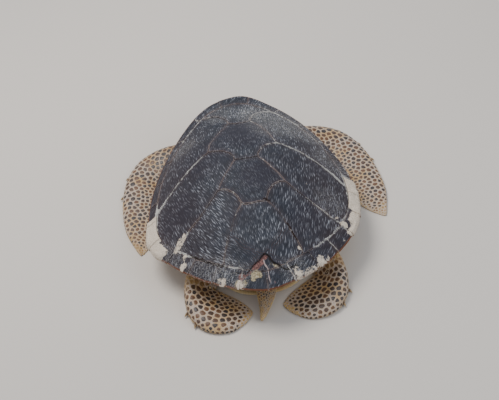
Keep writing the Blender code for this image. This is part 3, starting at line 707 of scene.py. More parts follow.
def horn_plate(name, upper, facets, values, material, lower=NO_RING, under=()):
    """A closed plate from its upper points and faces, and perhaps a ring below its edge, with named values."""
    mesh = bpy.data.meshes.new(name)
    count, around = len(upper), len(lower)
    skirt = [(i, count + i, count + (i + 1) % around, (i + 1) % around) for i in range(around)]
    floor_faces = [[count + i for i in reversed(face)] for face in under]
    mesh.from_pydata(np.concatenate([upper, lower]).tolist(), [], facets + skirt + floor_faces)
    store(mesh, {key: np.concatenate([series, series[:around]]) for key, series in values.items()})
    bm = bmesh.new()
    bm.from_mesh(mesh)
    bmesh.ops.recalc_face_normals(bm, faces=bm.faces)
    bm.to_mesh(mesh)
    bm.free()
    mesh.shade_smooth()
    mesh.set_sharp_from_angle(angle=math.radians(50))
    mesh.materials.append(material)
    return placed(name, mesh)


def faintness(points):
    return np.exp(-((distance_to_any(points, FAINT) / 0.006) ** 2))


def triangulated(points, around):
    """Triangles over plan points, of which the first are the outline."""
    flat, _, facets, *_ = geometry.delaunay_2d_cdt([Vector(p) for p in points], [], [list(range(around))], 1, 1e-7)
    return np.array([tuple(p) for p in flat]), facets


def scute(name, outline, trailing, material):
    outline, trailing = wander(outline), wander(trailing)
    faint = faintness(outline)[:, None]
    outline = 0.95 * faint * outline + (1 - 0.95 * faint) * inset(outline, SEAM_GAP / 2)
    cell = FINE_CELL if name in BROKEN_SCUTES else CELL
    closed = np.concatenate([outline, outline[:1]])
    points = [outline]
    for distance in EDGE_RINGS:
        ring = inset(outline, distance)
        points.append(ring[distance_to(ring, closed) > 0.93 * distance])
    low, high = outline.min(0), outline.max(0)
    rows = np.arange(low[1], high[1], cell * 0.87)
    grid = [(x + cell / 2 * (k % 2), y) for k, y in enumerate(rows) for x in np.arange(low[0], high[0], cell)]
    grid = np.array(grid)
    grid = grid[inside(grid, outline)]
    points.append(grid[distance_to(grid, closed) > EDGE_RINGS[-1] + 0.45 * cell])
    flat, facets = triangulated(np.concatenate(points), len(outline))
    _, under = triangulated(outline, len(outline))
    edge = distance_to(flat, closed)
    behind = distance_to(flat, trailing)
    faint = faintness(flat)
    edge = edge + 0.0040 * faint
    rest = edge + 0.004
    lean = rest / (rest + behind)  # 0 far from the overlapping edge, near 1 along it
    lift = OVERLAP_LIFT * np.exp(-behind / OVERLAP_REACH) - 0.0008 * np.exp(-edge / 0.010) * (1 - lean)
    round_off = 0.0007 * held(1 - edge / 0.0030) ** 2
    height = dome(flat[:, 0], flat[:, 1]) + lift * (1 - faint) - round_off
    height += 0.0011 * swell(flat, 16, 3.0) + 0.0004 * swell(flat, 70, 5.0)
    plan = settled(flat)
    values = wear(plan, flat, edge=edge)
    values["seam_sand"] *= 1 - faint
    height += broken_relief(flat, values["crack"])
    height += 0.0012 * held(values["crust"] * 1.4) * (0.5 + 0.5 * swell(flat, 180, 2.0))
    upper = np.column_stack([plan, height])
    around = len(outline)
    lower = np.column_stack([plan[:around], dome(*flat[:around].T) - THICKNESS])
    piece = horn_plate(name, upper, facets, values, material, lower, under)
    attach(piece, "root")
    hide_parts(name)


# Seams that age and wear have all but closed.
FAINT = [SIDE_REAR[4], mirrored(SIDE_REAR[4]), SIDE_REAR[5], mirrored(SIDE_REAR[5]), CROSS[4]]

# Scour on each scute: its turn from the turtle's length, how much of it there is, and for some
# how coarse it is.
SCOUR = {
    "costal_1_left": (-0.02, 0.9), "costal_1_right": (0.06, 1.3), "costal_2_left": (-0.30, 0.9, 0.65),
    "costal_2_right": (0.12, 0.9), "costal_3_left": (-0.56, 1.25, 0.62), "costal_3_right": (0.22, 1.1),
    "costal_4_left": (-0.60, 0.8, 0.6), "costal_4_right": (0.25, 1.4), "vertebral_1": (0.0, 1.5),
    "vertebral_2": (0.02, 0.9, 0.5), "vertebral_3": (-0.30, 0.7, 0.45), "vertebral_4": (0.04, 1.1, 0.5),
    "vertebral_5": (-0.10, 0.6),
}
for name, (outline, trailing) in SCUTES.items():
    scute(name, outline, trailing, horn(f"horn_{name}", *SCOUR.get(name, (0.04, 0.9))))


# ------------------------------------------------------------------ marginal scutes
# Eleven pairs of thick wedges round the edge, with the nuchal scute over the neck and two
# supracaudals over the tail. Each is folded over the rim, slate above and pale below.

MARGINALS, NUCHAL_SHARE = 11, 0.045
EDGE_DROP = 0.007  # from the dome's edge down to the under side
NOSE = 0.12  # share of the band's width over which the rim is rounded
CRUST_DEPTH, ROLL_DEPTH = 0.0052, 0.0095  # of patches of sand, and of the rolls caked on the rim
TOP_ROWS = (0.995, 0.97, 0.93, 0.86, 0.76, 0.66, 0.56, 0.46, 0.36, 0.26, 0.18, 0.12, 0.07, 0.035, 0.012)
UNDER_ROWS = (0.012, 0.04, 0.08, 0.14, 0.24, 0.38, 0.55, 0.75, 0.92, 0.99)


def rounded(inward):
    """0 at the rim and 1 where the rim's rounding ends, like a quarter circle."""
    return np.sqrt(held(1 - (1 - held(inward / NOSE)) ** 2))


def caked_at(shares, inward):
    """How thickly sand is caked on the band at shares of the way round and a depth in from the edge."""
    total = np.zeros(len(shares))
    for start, end, strength, outer, inner in CAKED:
        ends = held(np.minimum(shares - start, end - shares) / 0.012 + 0.15)
        band = math.sqrt(min(max(min(inward - outer, inner - inward) / 0.30 + 0.15, 0), 1))
        total = np.maximum(total, strength * np.sqrt(ends) * band)
    return total


def edge_scute(name, start, end, material):
    length = abs(end - start) * RIM_RUN[-1]
    ends, inner = np.array([0, 0.0007, 0.0018, 0.0036]), np.linspace(0.006, length - 0.006, int(length / 0.004))
    spots = np.concatenate([ends, inner, length - ends[::-1]])
    under_sand = float(caked_at(np.array([(start + end) / 2]), 0.5)[0] > 0.5)
    gap = SEAM_GAP * (1 - 0.9 * under_sand)
    spots = spots * (length - gap) / length + gap / 2
    forward = spots if start >= 0 else length - spots  # from the end nearer the head
    serration = 0.0030 * held((abs(start + end) / 2 - 0.50) / 0.25) if name != "nuchal" else 0.0
    notch = serration * (np.exp(-forward / 0.010) - 0.35 * np.exp(-(length - forward) / 0.014))
    shares = start + (end - start) * spots / length
    outer, middle = band_at(shares, 0.0), band_at(shares, 1.0)
    width = np.linalg.norm(outer - middle, axis=1)
    outward = (outer - middle) / width[:, None]
    rings = []
    for inward, below in [(row, False) for row in (*TOP_ROWS, 0.0)] + [(row, True) for row in UNDER_ROWS]:
        plan = band_at(shares, inward) - outward * (notch * (1 - inward) ** 2)[:, None]
        across = inward * width
        seam = np.maximum(np.minimum(np.minimum(forward, length - forward), width - across), 0)
        if below:
            depth = np.interp(inward, (0, NOSE, 0.5, 0.99), (0, 0.5, 0.9, 1.2)) * rounded(inward + 0.6 * NOSE)
            height = rim_height(outer[:, 1]) - EDGE_DROP * (0.4 + depth)
            height += 0.0005 * swell(plan, 60, 4.0)
        else:
            height = dome(plan[:, 0], plan[:, 1]) - 0.4 * EDGE_DROP * (1 - rounded(inward))
            lift = 0.0014 * np.exp(-(length - forward) / 0.013) - 0.0008 * np.exp(-forward / 0.010)
            lift -= 0.0010 * held(1 - seam / 0.003) ** 2 * (1 - under_sand)
            lift += 0.0009 * swell(plan, 18, 3.0) + 0.0004 * swell(plan, 75, 5.0)
            height += lift * rounded(inward)
            height += 0.8 * broken_relief(plan, behind_crack(plan))
        patch, roll = amount(settled(plan), CRUST), caked_at(shares, inward)
        crust = np.maximum(patch, roll) * (not below)
        uneven = 0.75 + 0.40 * swell(plan, 45, 7.0) + 0.25 * swell(plan, 190, 8.0)
        cake = np.maximum(CRUST_DEPTH * held(patch * 1.6 - 0.35), ROLL_DEPTH * roll**1.5) * uneven
        plan = settled(plan + outward * (0.9 * cake * (1 - inward) ** 2)[:, None])
        height += (-0.2 if below else 1.0) * cake * held(inward * 5 + 0.30)
        rust = held(1 - across / (0.008 if below else 0.0055))
        rings.append((np.column_stack([plan, height]), seam, crust, rust, np.full(len(spots), float(below))))
    points, seam, crust, rust, under = (np.concatenate(series) for series in zip(*rings))
    across, along_it = len(rings), len(spots)
    facets = []
    for k in range(across):
        j = (k + 1) % across
        for i in range(along_it - 1):
            facets.append((k * along_it + i, k * along_it + i + 1, j * along_it + i + 1, j * along_it + i))
    for i in (0, along_it - 1):
        facets.append([k * along_it + i for k in range(across)])
    plan = points[:, :2]
    values = wear(plan, plan, edge=seam, crust=crust, rust=rust, under=under)
    piece = horn_plate(name, points, facets, values, material)
    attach(piece, "root")
    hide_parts(name)


edge_horn = horn("horn_edge", 0.5)
edge_scute("nuchal", -NUCHAL_SHARE, NUCHAL_SHARE, edge_horn)
seam_shares = NUCHAL_SHARE + (1 - NUCHAL_SHARE) * np.linspace(0, 1, MARGINALS + 2) ** 0.95
for number, (start, end) in enumerate(zip(seam_shares, seam_shares[1:]), 1):
    name = f"marginal_{number}" if number <= MARGINALS else "supracaudal"
    edge_scute(f"{name}_right", start, end, edge_horn)
    edge_scute(f"{name}_left", -end, -start, edge_horn)


# ------------------------------------------------------------------ plastron and bridge
# The belly shell: six pairs of smooth pale yellow scutes on one hard plate, and along each
# flank four more on the bridge that ties it to the carapace.

PLASTRON_HALF, PLASTRON_LENGTH, PLASTRON_THICK = 0.185, 0.315, 0.012
PLASTRON_SEAMS = (0.235, 0.150, 0.040, -0.085, -0.200)  # where its cross seams meet the midline
GROOVE = 0.0011


def plastron_at(share, scale=1.0):
    """Plan points round the plastron: share 0 in front, 1 at the rear, the left side below 0 or over 1."""
    angle = np.pi * np.asarray(share, float)
    x = PLASTRON_HALF * scale * np.sign(np.sin(angle)) * np.abs(np.sin(angle)) ** 0.8
    y = PLASTRON_LENGTH * scale * np.sign(np.cos(angle)) * np.abs(np.cos(angle)) ** 0.85
    return np.stack([x, y], -1)


def plastron_groove(points):
    """How near each plan point is to a seam of the plastron, 1 in the groove and 0 away from it."""
    x, y = points[:, 0], points[:, 1]
    far = np.abs(x + 0.0015 * np.sin(40 * y))
    for level in PLASTRON_SEAMS:
        bow = 0.30 * np.abs(x) - 0.9 * x**2 if level > 0 else -0.22 * np.abs(x)
        far = np.minimum(far, np.abs(y - level - bow))
    return far


def plastron_horn():
    material, tree, shader, place = new_material("plastron_horn")
    cloud = grain(place, 7, 4, 0.55)
    fine = grain(place, 160, 3, 0.6)
    seam = attribute(tree, "edge")
    colour = blend_of(ramp(cloud, 0.35, 0.70), (0.62, 0.46, 0.22), (0.50, 0.32, 0.13))
    colour = blend_of(ramp(grain(place, 16, 4, 0.65), 0.60, 0.70, 0.0, 0.55), colour, (0.16, 0.085, 0.04))
    rings = growth_rings(cloud, 0.02, seam, 900)
    colour = blend_of(ramp(rings, 0.5, 1.0, 0.0, 0.18), colour, (0.30, 0.19, 0.08))
    colour = blend_of(ramp(seam, 0.0004, 0.0024, 0.8, 0.0), colour, (0.13, 0.08, 0.045))
    colour = blend_of(ramp(fine, 0.58, 0.70, 0.0, 0.35), colour, SAND)
    surfaced(shader, colour, ramp(fine, 0.3, 0.7, 0.38, 0.60), scaled(rings, 0.2, fine), 0.5, 0.0006)
    return material


def tube(rows, around):
    """Faces over rings of points, closed at both ends."""
    facets = [
        (k * around + i, k * around + (i + 1) % around, (k + 1) * around + (i + 1) % around, (k + 1) * around + i)
        for k in range(rows - 1)
        for i in range(around)
    ]
    return facets + [list(range(around))[::-1], [(rows - 1) * around + i for i in range(around)]]


belly_horn = plastron_horn()
FLAT_ROWS, AROUND = 60, 400
rim_bands = (  # share of the way out from the middle, and height
    (0.945, 0.0004), (0.965, 0.0016), (0.985, 0.0042), (0.998, 0.0074), (0.992, 0.0104), (0.975, 0.0116),
    (0.90, PLASTRON_THICK), (0.60, PLASTRON_THICK),
)
bands = [(share, 0.0) for share in np.linspace(0.04, 0.93, FLAT_ROWS)] + list(rim_bands)
plan = np.concatenate([plastron_at(evenly(AROUND, 2), reach) for reach, _ in bands])
seam = plastron_groove(plan)
lower_side = np.repeat(np.arange(len(bands)) < FLAT_ROWS + 6, AROUND)
height = np.repeat([level for _, level in bands], AROUND) + lower_side * GROOVE * np.exp(-((seam / 0.0016) ** 2))
facets = tube(len(bands), AROUND)
points = np.column_stack([plan, height])
plastron = horn_plate("plastron_scutes", points, facets, {"edge": seam}, belly_horn)
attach(plastron, "root")
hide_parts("plastron")


def curve(knots, spots):
    """A Catmull-Rom curve through the knots, read at spots from 0 at the first to 1 at the last."""
    knots = np.asarray(knots, float)
    knots = knots.reshape(len(knots), -1)
    ends = np.concatenate([[2 * knots[0] - knots[1]], knots, [2 * knots[-1] - knots[-2]]])
    place = held(spots) * (len(knots) - 1)
    k = np.minimum(place.astype(int), len(knots) - 2)
    t = (place - k)[:, None]
    a, b, c, d = (ends[k + i] for i in range(4))
    return 0.5 * (2 * b + (c - a) * t + (2 * a - 5 * b + 4 * c - d) * t**2 + (3 * b - a - 3 * c + d) * t**3)


WALL = (  # reach from the plastron to the shell at the flanks, share of the way up, reach at the ends
    (0.0, 0.0, 0.0), (0.28, 0.16, 0.13), (0.62, 0.36, 0.30), (0.93, 0.70, 0.62), (0.965, 1.0, 0.93),
)


def flank(share, rise):
    """Places on the body's wall, by share of the way round and of the way up from plastron to shell."""
    seam, belly = settled(band_at(share, 1.0)), plastron_at(share, 0.97)
    turn = np.cos(np.pi * share) ** 2
    side_reach, up, end_reach = curve(WALL, rise).T
    reach = side_reach + (end_reach - side_reach) * turn - 0.006
    bottom, top = PLASTRON_THICK - 0.002, rim_height(rim_at(share)[:, 1]) - 2 * EDGE_DROP
    return np.column_stack([belly + (seam - belly) * reach[:, None], bottom + (top - bottom) * up])


BRIDGE_ENDS = (0.335, 0.410, 0.490, 0.570, 0.640)  # shares of the way round where its plates meet
ALONG, UP = 29, 25  # points of one plate
at = np.arange(ALONG * UP).reshape(ALONG, UP)
facets = np.stack([at[:-1, :-1], at[1:, :-1], at[1:, 1:], at[:-1, 1:]], -1).reshape(-1, 4).tolist()
hem = np.concatenate([at[:, 0], at[-1, 1:], at[-2::-1, -1], at[0, -2:0:-1]]).tolist()
for number, (start, end) in enumerate(zip(BRIDGE_ENDS, BRIDGE_ENDS[1:]), 1):
    for side, word in ((1, "right"), (-1, "left")):
        u, v = np.meshgrid(np.linspace(0, 1, ALONG), np.linspace(0, 1, UP), indexing="ij")
        u, v = u.ravel(), v.ravel()
        share = side * (start + 0.0015 + (end - start - 0.003) * u)
        rise = 0.03 + (0.60 + 0.04 * np.cos(9 * share)) * v
        base, beside, above = flank(share, rise), flank(share + 0.001, rise), flank(share, rise + 0.01)
        out = unit(np.cross(above - base, beside - base))
        out *= np.sign(np.sum(out * np.column_stack([base[:, :2], np.zeros(len(base))]), axis=1))[:, None]
        edge = np.minimum(np.minimum(u, 1 - u) * 0.085, np.minimum(v, 1 - v) * 0.075)
        swelling = 0.0004 + 0.0016 * (1 - np.exp(-edge / 0.0035)) + 0.0003 * swell(base[:, 1:], 60, 3.0)
        swelling = np.where(edge < 1e-6, -0.0020, swelling)
        points = base + out * swelling[:, None]
        plate = horn_plate(f"bridge_{number}_{word}", points, facets + [hem], {"edge": edge}, belly_horn)
        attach(plate, "root")


# ------------------------------------------------------------------ skin
# One hide over the trunk's flanks, neck, head, tail and flippers. It is leathery and pale
# yellow between the scales, slack and folded where the neck and limbs leave the shell.

SKIN_DEPTH = 0.0018  # how far the hide lies inside the scales' outer faces
EYE_PLACE, EYE_RADIUS = Vector((0.0340, 0.498, 0.070)), 0.0145
HEAD_BACK, HEAD_LENGTH = 0.405, 0.170
HEAD_STATIONS = (  # share of the head's length, half width, top, bottom, height of the widest line
    (0.00, 0.047, 0.097, 0.010, 0.050),
    (0.12, 0.052, 0.102, 0.004, 0.052),
    (0.28, 0.054, 0.106, 0.000, 0.050),
    (0.42, 0.052, 0.107, 0.000, 0.050),
    (0.54, 0.047, 0.104, 0.000, 0.052),
    (0.65, 0.040, 0.098, 0.000, 0.054),
    (0.76, 0.031, 0.087, 0.001, 0.050),
    (0.86, 0.022, 0.073, 0.004, 0.044),
    (0.94, 0.013, 0.060, 0.009, 0.038),
    (1.00, 0.005, 0.046, 0.018, 0.032),
)
FLIPPER_SECTION = (  # share across from the thin trailing edge to the thick leading edge, share of thickness
    (0.00, 0.12), (0.04, 0.00), (0.50, 0.00), (0.94, 0.00), (1.00, 0.38),
    (0.96, 0.76), (0.82, 1.00), (0.58, 0.88), (0.32, 0.56), (0.08, 0.26),
)
FRONT_FLIPPER = {
    "leading": (
        (0.120, 0.335), (0.200, 0.392), (0.285, 0.412), (0.365, 0.378),
        (0.418, 0.292), (0.445, 0.180), (0.452, 0.068), (0.432, -0.042),
    ),
    "trailing": (
        (0.170, 0.180), (0.238, 0.232), (0.274, 0.238), (0.293, 0.205),
        (0.303, 0.140), (0.328, 0.062), (0.368, -0.004), (0.422, -0.054),
    ),
    "thickness": (0.080, 0.072, 0.056, 0.044, 0.034, 0.026, 0.018, 0.009),
    "lift": (0.022, 0.012, 0.004, 0, 0, 0, 0, 0),
    "claws": ((21, 0.015), (26, 0.012)),
}
HIND_FLIPPER = {
    "leading": (
        (0.195, -0.160), (0.240, -0.230), (0.252, -0.305), (0.234, -0.380),
        (0.184, -0.430), (0.116, -0.438), (0.062, -0.402),
    ),
    "trailing": (
        (0.072, -0.205), (0.128, -0.240), (0.152, -0.260), (0.134, -0.278),
        (0.100, -0.301), (0.066, -0.328), (0.038, -0.362),
    ),
    "thickness": (0.085, 0.074, 0.058, 0.042, 0.030, 0.020, 0.010),
    "lift": (0.010, 0.006, 0, 0, 0, 0, 0),
    "claws": ((17, 0.014), (22, 0.012)),
}
LIMBS = {  # form, side, joint that the limb is swung about, degrees of swing at the tip
    "front_right": (FRONT_FLIPPER, 1, (0.25, 0.32), 0),
    "front_left": (FRONT_FLIPPER, -1, (0.25, 0.32), -7),
    "hind_right": (HIND_FLIPPER, 1, (0.19, -0.27), 0),
    "hind_left": (HIND_FLIPPER, -1, (0.19, -0.27), 6),
}
TAIL = (  # middle line, half width, half height
    ((0.000, -0.250, 0.060), 0.048, 0.036),
    ((0.000, -0.300, 0.052), 0.042, 0.032),
    ((-0.005, -0.345, 0.038), 0.030, 0.024),
    ((-0.014, -0.380, 0.025), 0.019, 0.017),
    ((-0.024, -0.405, 0.015), 0.011, 0.011),
    ((-0.030, -0.418, 0.010), 0.005, 0.006),
)


def swung(knots, pivot, degrees):
    angle = np.radians(degrees) * np.arange(len(knots)) / (len(knots) - 1)
    x, y = (np.asarray(knots) - pivot).T
    turned = np.stack([x * np.cos(angle) - y * np.sin(angle), x * np.sin(angle) + y * np.cos(angle)], -1)
    return turned + pivot


def run_of(line):
    """The length along a line of points, from its start to each of them."""
    return np.concatenate([[0], np.cumsum(np.linalg.norm(np.diff(line, axis=0), axis=1))])


def limb_edges(name):
    form, side, pivot, degrees = LIMBS[name]
    return swung(form["leading"], pivot, degrees) * (side, 1), swung(form["trailing"], pivot, degrees) * (side, 1)


def closed_form(name, rings):
    """A mesh over rings of points, closed at both ends, facing outward."""
    mesh = bpy.data.meshes.new(name)
    mesh.from_pydata(np.concatenate(rings).tolist(), [], tube(len(rings), len(rings[0])))
    bm = bmesh.new()
    bm.from_mesh(mesh)
    bmesh.ops.poke(bm, faces=[face for face in bm.faces if len(face.verts) > 4])
    bmesh.ops.recalc_face_normals(bm, faces=bm.faces)
    bm.to_mesh(mesh)
    bm.free()
    return placed(name, mesh)


def head_outline(half, top, bottom, widest, y, around=110):
    angle = evenly(around)
    rise = np.cos(angle)
    x = half * np.sign(np.sin(angle)) * np.abs(np.sin(angle)) ** 0.85
    above = widest + (top - widest) * held(rise) ** 0.95
    below = widest + (widest - bottom) * np.maximum(rise * 1.12, -1)
    return np.column_stack([x, np.full(around, y), np.where(rise > 0, above, below)])


def head_form(start, end, shrink):
    """Outlines of the neck and head every 2 mm from one place along it to another."""
    neck = [(0.270, 1.30, 0.010), (0.315, 1.25, 0.008), (0.360, 1.12, 0.003)]
    _, half, top, bottom, widest = HEAD_STATIONS[0]
    table = []
    for y, grow, lift in neck:
        middle, rise = (top + bottom) / 2 + lift, (top - bottom) / 2 * grow
        table.append((y, half * grow, middle + rise, middle - rise, widest + lift))
    table += [(HEAD_BACK + HEAD_LENGTH * share, *sizes) for share, *sizes in HEAD_STATIONS]
    fine = curve(table, np.linspace(0, 1, 900))
    rings = []
    for y in np.arange(start, end, 0.002):
        half, top, bottom, widest = (np.interp(y, fine[:, 0], fine[:, k]) for k in (1, 2, 3, 4))
        rings.append(head_outline(half - shrink, top - shrink, max(bottom, 0.0) + shrink, widest, y))
    return rings


def paddle_form(name):
    """Outlines across a flipper from its root to its rounded tip."""
    form = LIMBS[name][0]
    leading, trailing = limb_edges(name)
    coarse = np.linspace(0, 1, 400)
    middle = (curve(leading, coarse) + curve(trailing, coarse)) / 2
    run = run_of(middle)
    spots = np.interp(np.arange(0, run[-1], 0.0036), run, coarse)
    spots = np.unique(np.concatenate([spots, 1 - 0.012 * np.array([0.5, 0.25, 0.1, 0.03, 0])]))
    front, rear = curve(leading, spots), curve(trailing, spots)
    thick = curve(form["thickness"], spots)[:, 0]
    lift = np.maximum(curve(form["lift"], spots)[:, 0], 0)
    round_tip = np.sqrt(np.clip(1 - held((spots - 0.972) / 0.028) ** 2, 0.02, 1))
    section = curve(FLIPPER_SECTION + FLIPPER_SECTION[:1], evenly(72, 1))
    across, upward = held(section[:, 0]), held(section[:, 1])
    rings = []
    for a, b, depth, floor_gap, taper in zip(front, rear, thick, lift, round_tip):
        width = np.linalg.norm(a - b)
        share = 0.5 + (across - 0.5) * (1 - 2 * SKIN_DEPTH / width) * taper
        plan = b + (a - b) * share[:, None]
        thick_here = max(depth - 2 * SKIN_DEPTH, 0.0035)
        height = floor_gap + SKIN_DEPTH + thick_here * (0.5 + (upward - 0.5) * taper)
        rings.append(np.column_stack([plan, height]))
    return rings


def trunk_form(around=440):
    """The body's wall: up the flank from the plastron, under the shell's edge, and closed over inside."""
    shares = evenly(around, 2)
    belly, seam = plastron_at(shares, 0.97), settled(band_at(shares, 1.0))
    top = rim_height(rim_at(shares)[:, 1]) - 2 * EDGE_DROP
    rings = [np.column_stack([belly * 0.5, np.full(around, PLASTRON_THICK - 0.002)])]
    rings += [flank(shares, np.full(around, rise)) for rise in np.linspace(0, 1, 44)]
    for reach in (0.80, 0.55, 0.3):
        plan = seam * reach
        rings.append(np.column_stack([plan, np.minimum(dome(*plan.T) - 0.012, top + 0.05)]))
    return rings


def tail_form():
    fine = curve([(*middle, half, reach) for middle, half, reach in TAIL], np.linspace(0, 1, 60))
    angle = evenly(48)
    rings = []
    for x, y, z, half, reach in fine:
        half, reach = max(half - SKIN_DEPTH, 0.0015), max(reach - SKIN_DEPTH, 0.0015)
        height = np.maximum(z + reach * np.cos(angle), SKIN_DEPTH)
        rings.append(np.column_stack([x + half * np.sin(angle), np.full(len(angle), y), height]))
    return rings


def united(first, others):
    """One mesh object from closed forms that run into each other, with the part each face came from."""
    for number, piece in enumerate([first] + others):
        part = piece.data.attributes.new("part", "INT", "FACE")
        part.data.foreach_set("value", np.full(len(piece.data.polygons), number, np.int32))
    for piece in others:
        join = first.modifiers.new(piece.name, "BOOLEAN")
        join.operation = "UNION"
        join.solver = "MANIFOLD"
        join.object = piece
    result = bpy.data.meshes.new_from_object(first.evaluated_get(bpy.context.evaluated_depsgraph_get()))
    for piece in [first] + others:
        bpy.data.objects.remove(piece, do_unlink=True)
    return result


forms = [
    closed_form("trunk_form", trunk_form()),
    closed_form("head_form", head_form(0.270, 0.5735, SKIN_DEPTH)),
    closed_form("tail_form", tail_form()),
] + [closed_form(f"{name}_form", paddle_form(name)) for name in LIMBS]
skin_mesh = united(forms[0], forms[1:])


def array_of(mesh_items, field, width, kind=float):
    values = np.empty(len(mesh_items) * width, kind)
    mesh_items.foreach_get(field, values)
    return values.reshape(-1, width) if width > 1 else values


def tree_of(points):
    tree = KDTree(len(points))
    for k, point in enumerate(points):
        tree.insert(point, k)
    tree.balance()
    return tree


def refine_near(mesh, spots, reach, cuts):
    """More vertices round some spots, where the hide has fine form."""
    bm = bmesh.new()
    bm.from_mesh(mesh)
    for _ in range(cuts):
        middles = [(edge, (edge.verts[0].co + edge.verts[1].co) / 2) for edge in bm.edges]
        near = [edge for edge, middle in middles if any((middle - spot).length < reach for spot in spots)]
        long = [edge for edge in near if edge.calc_length() > 0.0011]
        bmesh.ops.subdivide_edges(bm, edges=long, cuts=1, use_grid_fill=True)
    bmesh.ops.triangulate(bm, faces=bm.faces)
    bm.to_mesh(mesh)
    bm.free()


def soften_joints(mesh, reach=0.026, rounds=45):
    """Rounds the creases where one form runs into the next, as loose hide does."""
    bm = bmesh.new()
    bm.from_mesh(mesh)
    part = bm.faces.layers.int["part"]
    crease = set()
    for edge in bm.edges:
        if len(edge.link_faces) == 2 and edge.link_faces[0][part] != edge.link_faces[1][part]:
            crease.update(v.index for v in edge.verts)
    bm.free()
    place = array_of(mesh.vertices, "co", 3)
    tree = tree_of(place[sorted(crease)])
    far = np.array([tree.find(spot)[2] for spot in place])
    pull = 0.6 * held(1.15 - far / reach)
    ends = array_of(mesh.edges, "vertices", 2, np.int32)
    ends = ends[(pull[ends] > 0).any(1)]
    count = np.bincount(ends.ravel(), minlength=len(place))
    pull = np.where(count > 0, pull, 0)[:, None]
    for _ in range(rounds):
        total = np.zeros_like(place)
        for k in range(3):
            total[:, k] = np.bincount(ends[:, 0], place[ends[:, 1], k], len(place))
            total[:, k] += np.bincount(ends[:, 1], place[ends[:, 0], k], len(place))
        place += pull * (total / np.maximum(count, 1)[:, None] - place)
    return place


EYE_SPOTS = [Vector((side * EYE_PLACE.x, EYE_PLACE.y, EYE_PLACE.z)) for side in (1, -1)]
LID_RADIUS, LID_OPEN, LID_LONG = EYE_RADIUS + 0.0013, 0.66, 1.00  # the opening in radians, up and along
LID_EDGE = 1.02  # radians from the eye's axis to where the shields stop
EYE_OUT = Vector((1.0, 0.26, 0.12)).normalized()
LOOK, LOOK_AHEAD = np.array(EYE_OUT), unit(np.cross([0, 0, 1], EYE_OUT))
LOOK_ABOVE = np.cross(LOOK, LOOK_AHEAD)
MOUTH_CORNER = (0.514, 0.034)  # distance ahead and height
MOUTH_TIP, BEAK_TOP, BEAK_CHIN = (0.600, 0.028), (0.560, 0.130), (0.545, -0.02)


def eye_angles(points, side):
    """For points on one side of the head: distance from the eye's middle, and angles forward and up."""
    offset = points * (side, 1, 1) - np.array(EYE_PLACE)
    depth = offset @ LOOK
    ahead, above = np.arctan2(offset @ LOOK_AHEAD, depth), np.arctan2(offset @ LOOK_ABOVE, depth)
    return np.linalg.norm(offset, axis=1), ahead, above, offset, depth


def shape_lids(place):
    for side in (1, -1):
        far, ahead, above, offset, depth = eye_angles(place, side)
        near = (far < 0.030) & (depth > -0.2 * far)
        above = above - 0.10 * ahead
        share = np.clip(1 - (ahead / LID_LONG) ** 2, 0, None)
        spread = np.where(share > 0, np.abs(above) / (LID_OPEN * np.maximum(share, 0.02) ** 0.8), 9)
        round_it = np.hypot(ahead * 0.8, above)
        fold = 0.0007 * np.cos(np.clip((round_it - 0.62) / 0.13, -2.2, 6) * np.pi) * (spread > 1.3)
        fold *= held(1.6 - round_it)
        lid = LID_RADIUS + 0.0005 * np.exp(-((spread - 1.12) / 0.12) ** 2) + fold
        target = np.where(spread < 1.0, EYE_RADIUS - 0.0022, np.maximum(far, lid))
        blend = held((0.0205 - far) / 0.004) * held((depth / np.maximum(far, 1e-6) - 0.05) / 0.25)
        blend = np.where(spread < 1.0, held((0.024 - far) / 0.002), blend)
        moved = offset / np.maximum(far, 1e-6)[:, None] * (far + (target - far) * blend)[:, None]
        moved = (moved + np.array(EYE_PLACE)) * (side, 1, 1)
        place = np.where(near[:, None], moved, place)
    return place


def beak_sides(points):
    """For the upper sheath and the lower: the way in, how far in each point lies, and its height over the mouth."""
    corner = np.array(MOUTH_CORNER)
    line = corner[1] + (MOUTH_TIP[1] - corner[1]) * (points[:, 1] - corner[0]) / (MOUTH_TIP[0] - corner[0])
    for tip, upper in ((BEAK_TOP, True), (BEAK_CHIN, False)):
        run = np.array(tip) - corner
        inward = unit(np.array([run[1], -run[0]])) * (1 if upper else -1)
        yield upper, inward, (points[:, 1:] - corner) @ inward, points[:, 2] - line


def beak_depth(points):
    """How far each point lies inside the beak's horn, ahead of where it meets the hide."""
    total = np.full(len(points), 9.0)
    for upper, _, depth, over in beak_sides(points):
        total = np.where((over > 0) == upper, depth, total)
    return total


refine_near(skin_mesh, EYE_SPOTS, 0.0225, 2)
place = soften_joints(skin_mesh)
place[:, 2] = np.maximum(place[:, 2], 0.0014)
skin_mesh.vertices.foreach_set("co", place.ravel())
skin_mesh.update()
normal = array_of(skin_mesh.vertices, "normal", 3)

# Folds where the hide is slack: rings round the neck, and creases across each limb's root.
x, y, z = place.T
slack = held((y - 0.275) / 0.03) * held((0.415 - y) / 0.04) * (np.abs(x) < 0.09)
warp = swell(place[:, :2], 22, 1.0)
ring = np.cos(2 * np.pi * (y / 0.0155 + 0.35 * warp + 0.25 * np.abs(x) / 0.05))
push = slack * (0.0011 * ring - 0.0004)
for _, side, pivot, _ in LIMBS.values():
    far = np.hypot(x - side * pivot[0], y - pivot[1])
    root = held(1.25 - far / 0.085) * (x * side > 0.12)
    crease = np.cos(2 * np.pi * (far / 0.013 + 0.5 * warp))
    push = np.where(root > 0, root * (0.0009 * crease - 0.0003), push)
push += 0.0005 * swell(place[:, :2] + place[:, 2:] * 0.7, 70, 6.0) * held(place[:, 2] / 0.02)
head_share = held((y - 0.43) / 0.02) * (np.abs(x) < 0.07)
push *= 1 - 0.8 * head_share
ahead = beak_depth(place)
in_beak = (y > 0.505) & (np.abs(x) < 0.07)
push = np.where(in_beak, -0.0028 * held((ahead + 0.0005) / 0.0015), push)
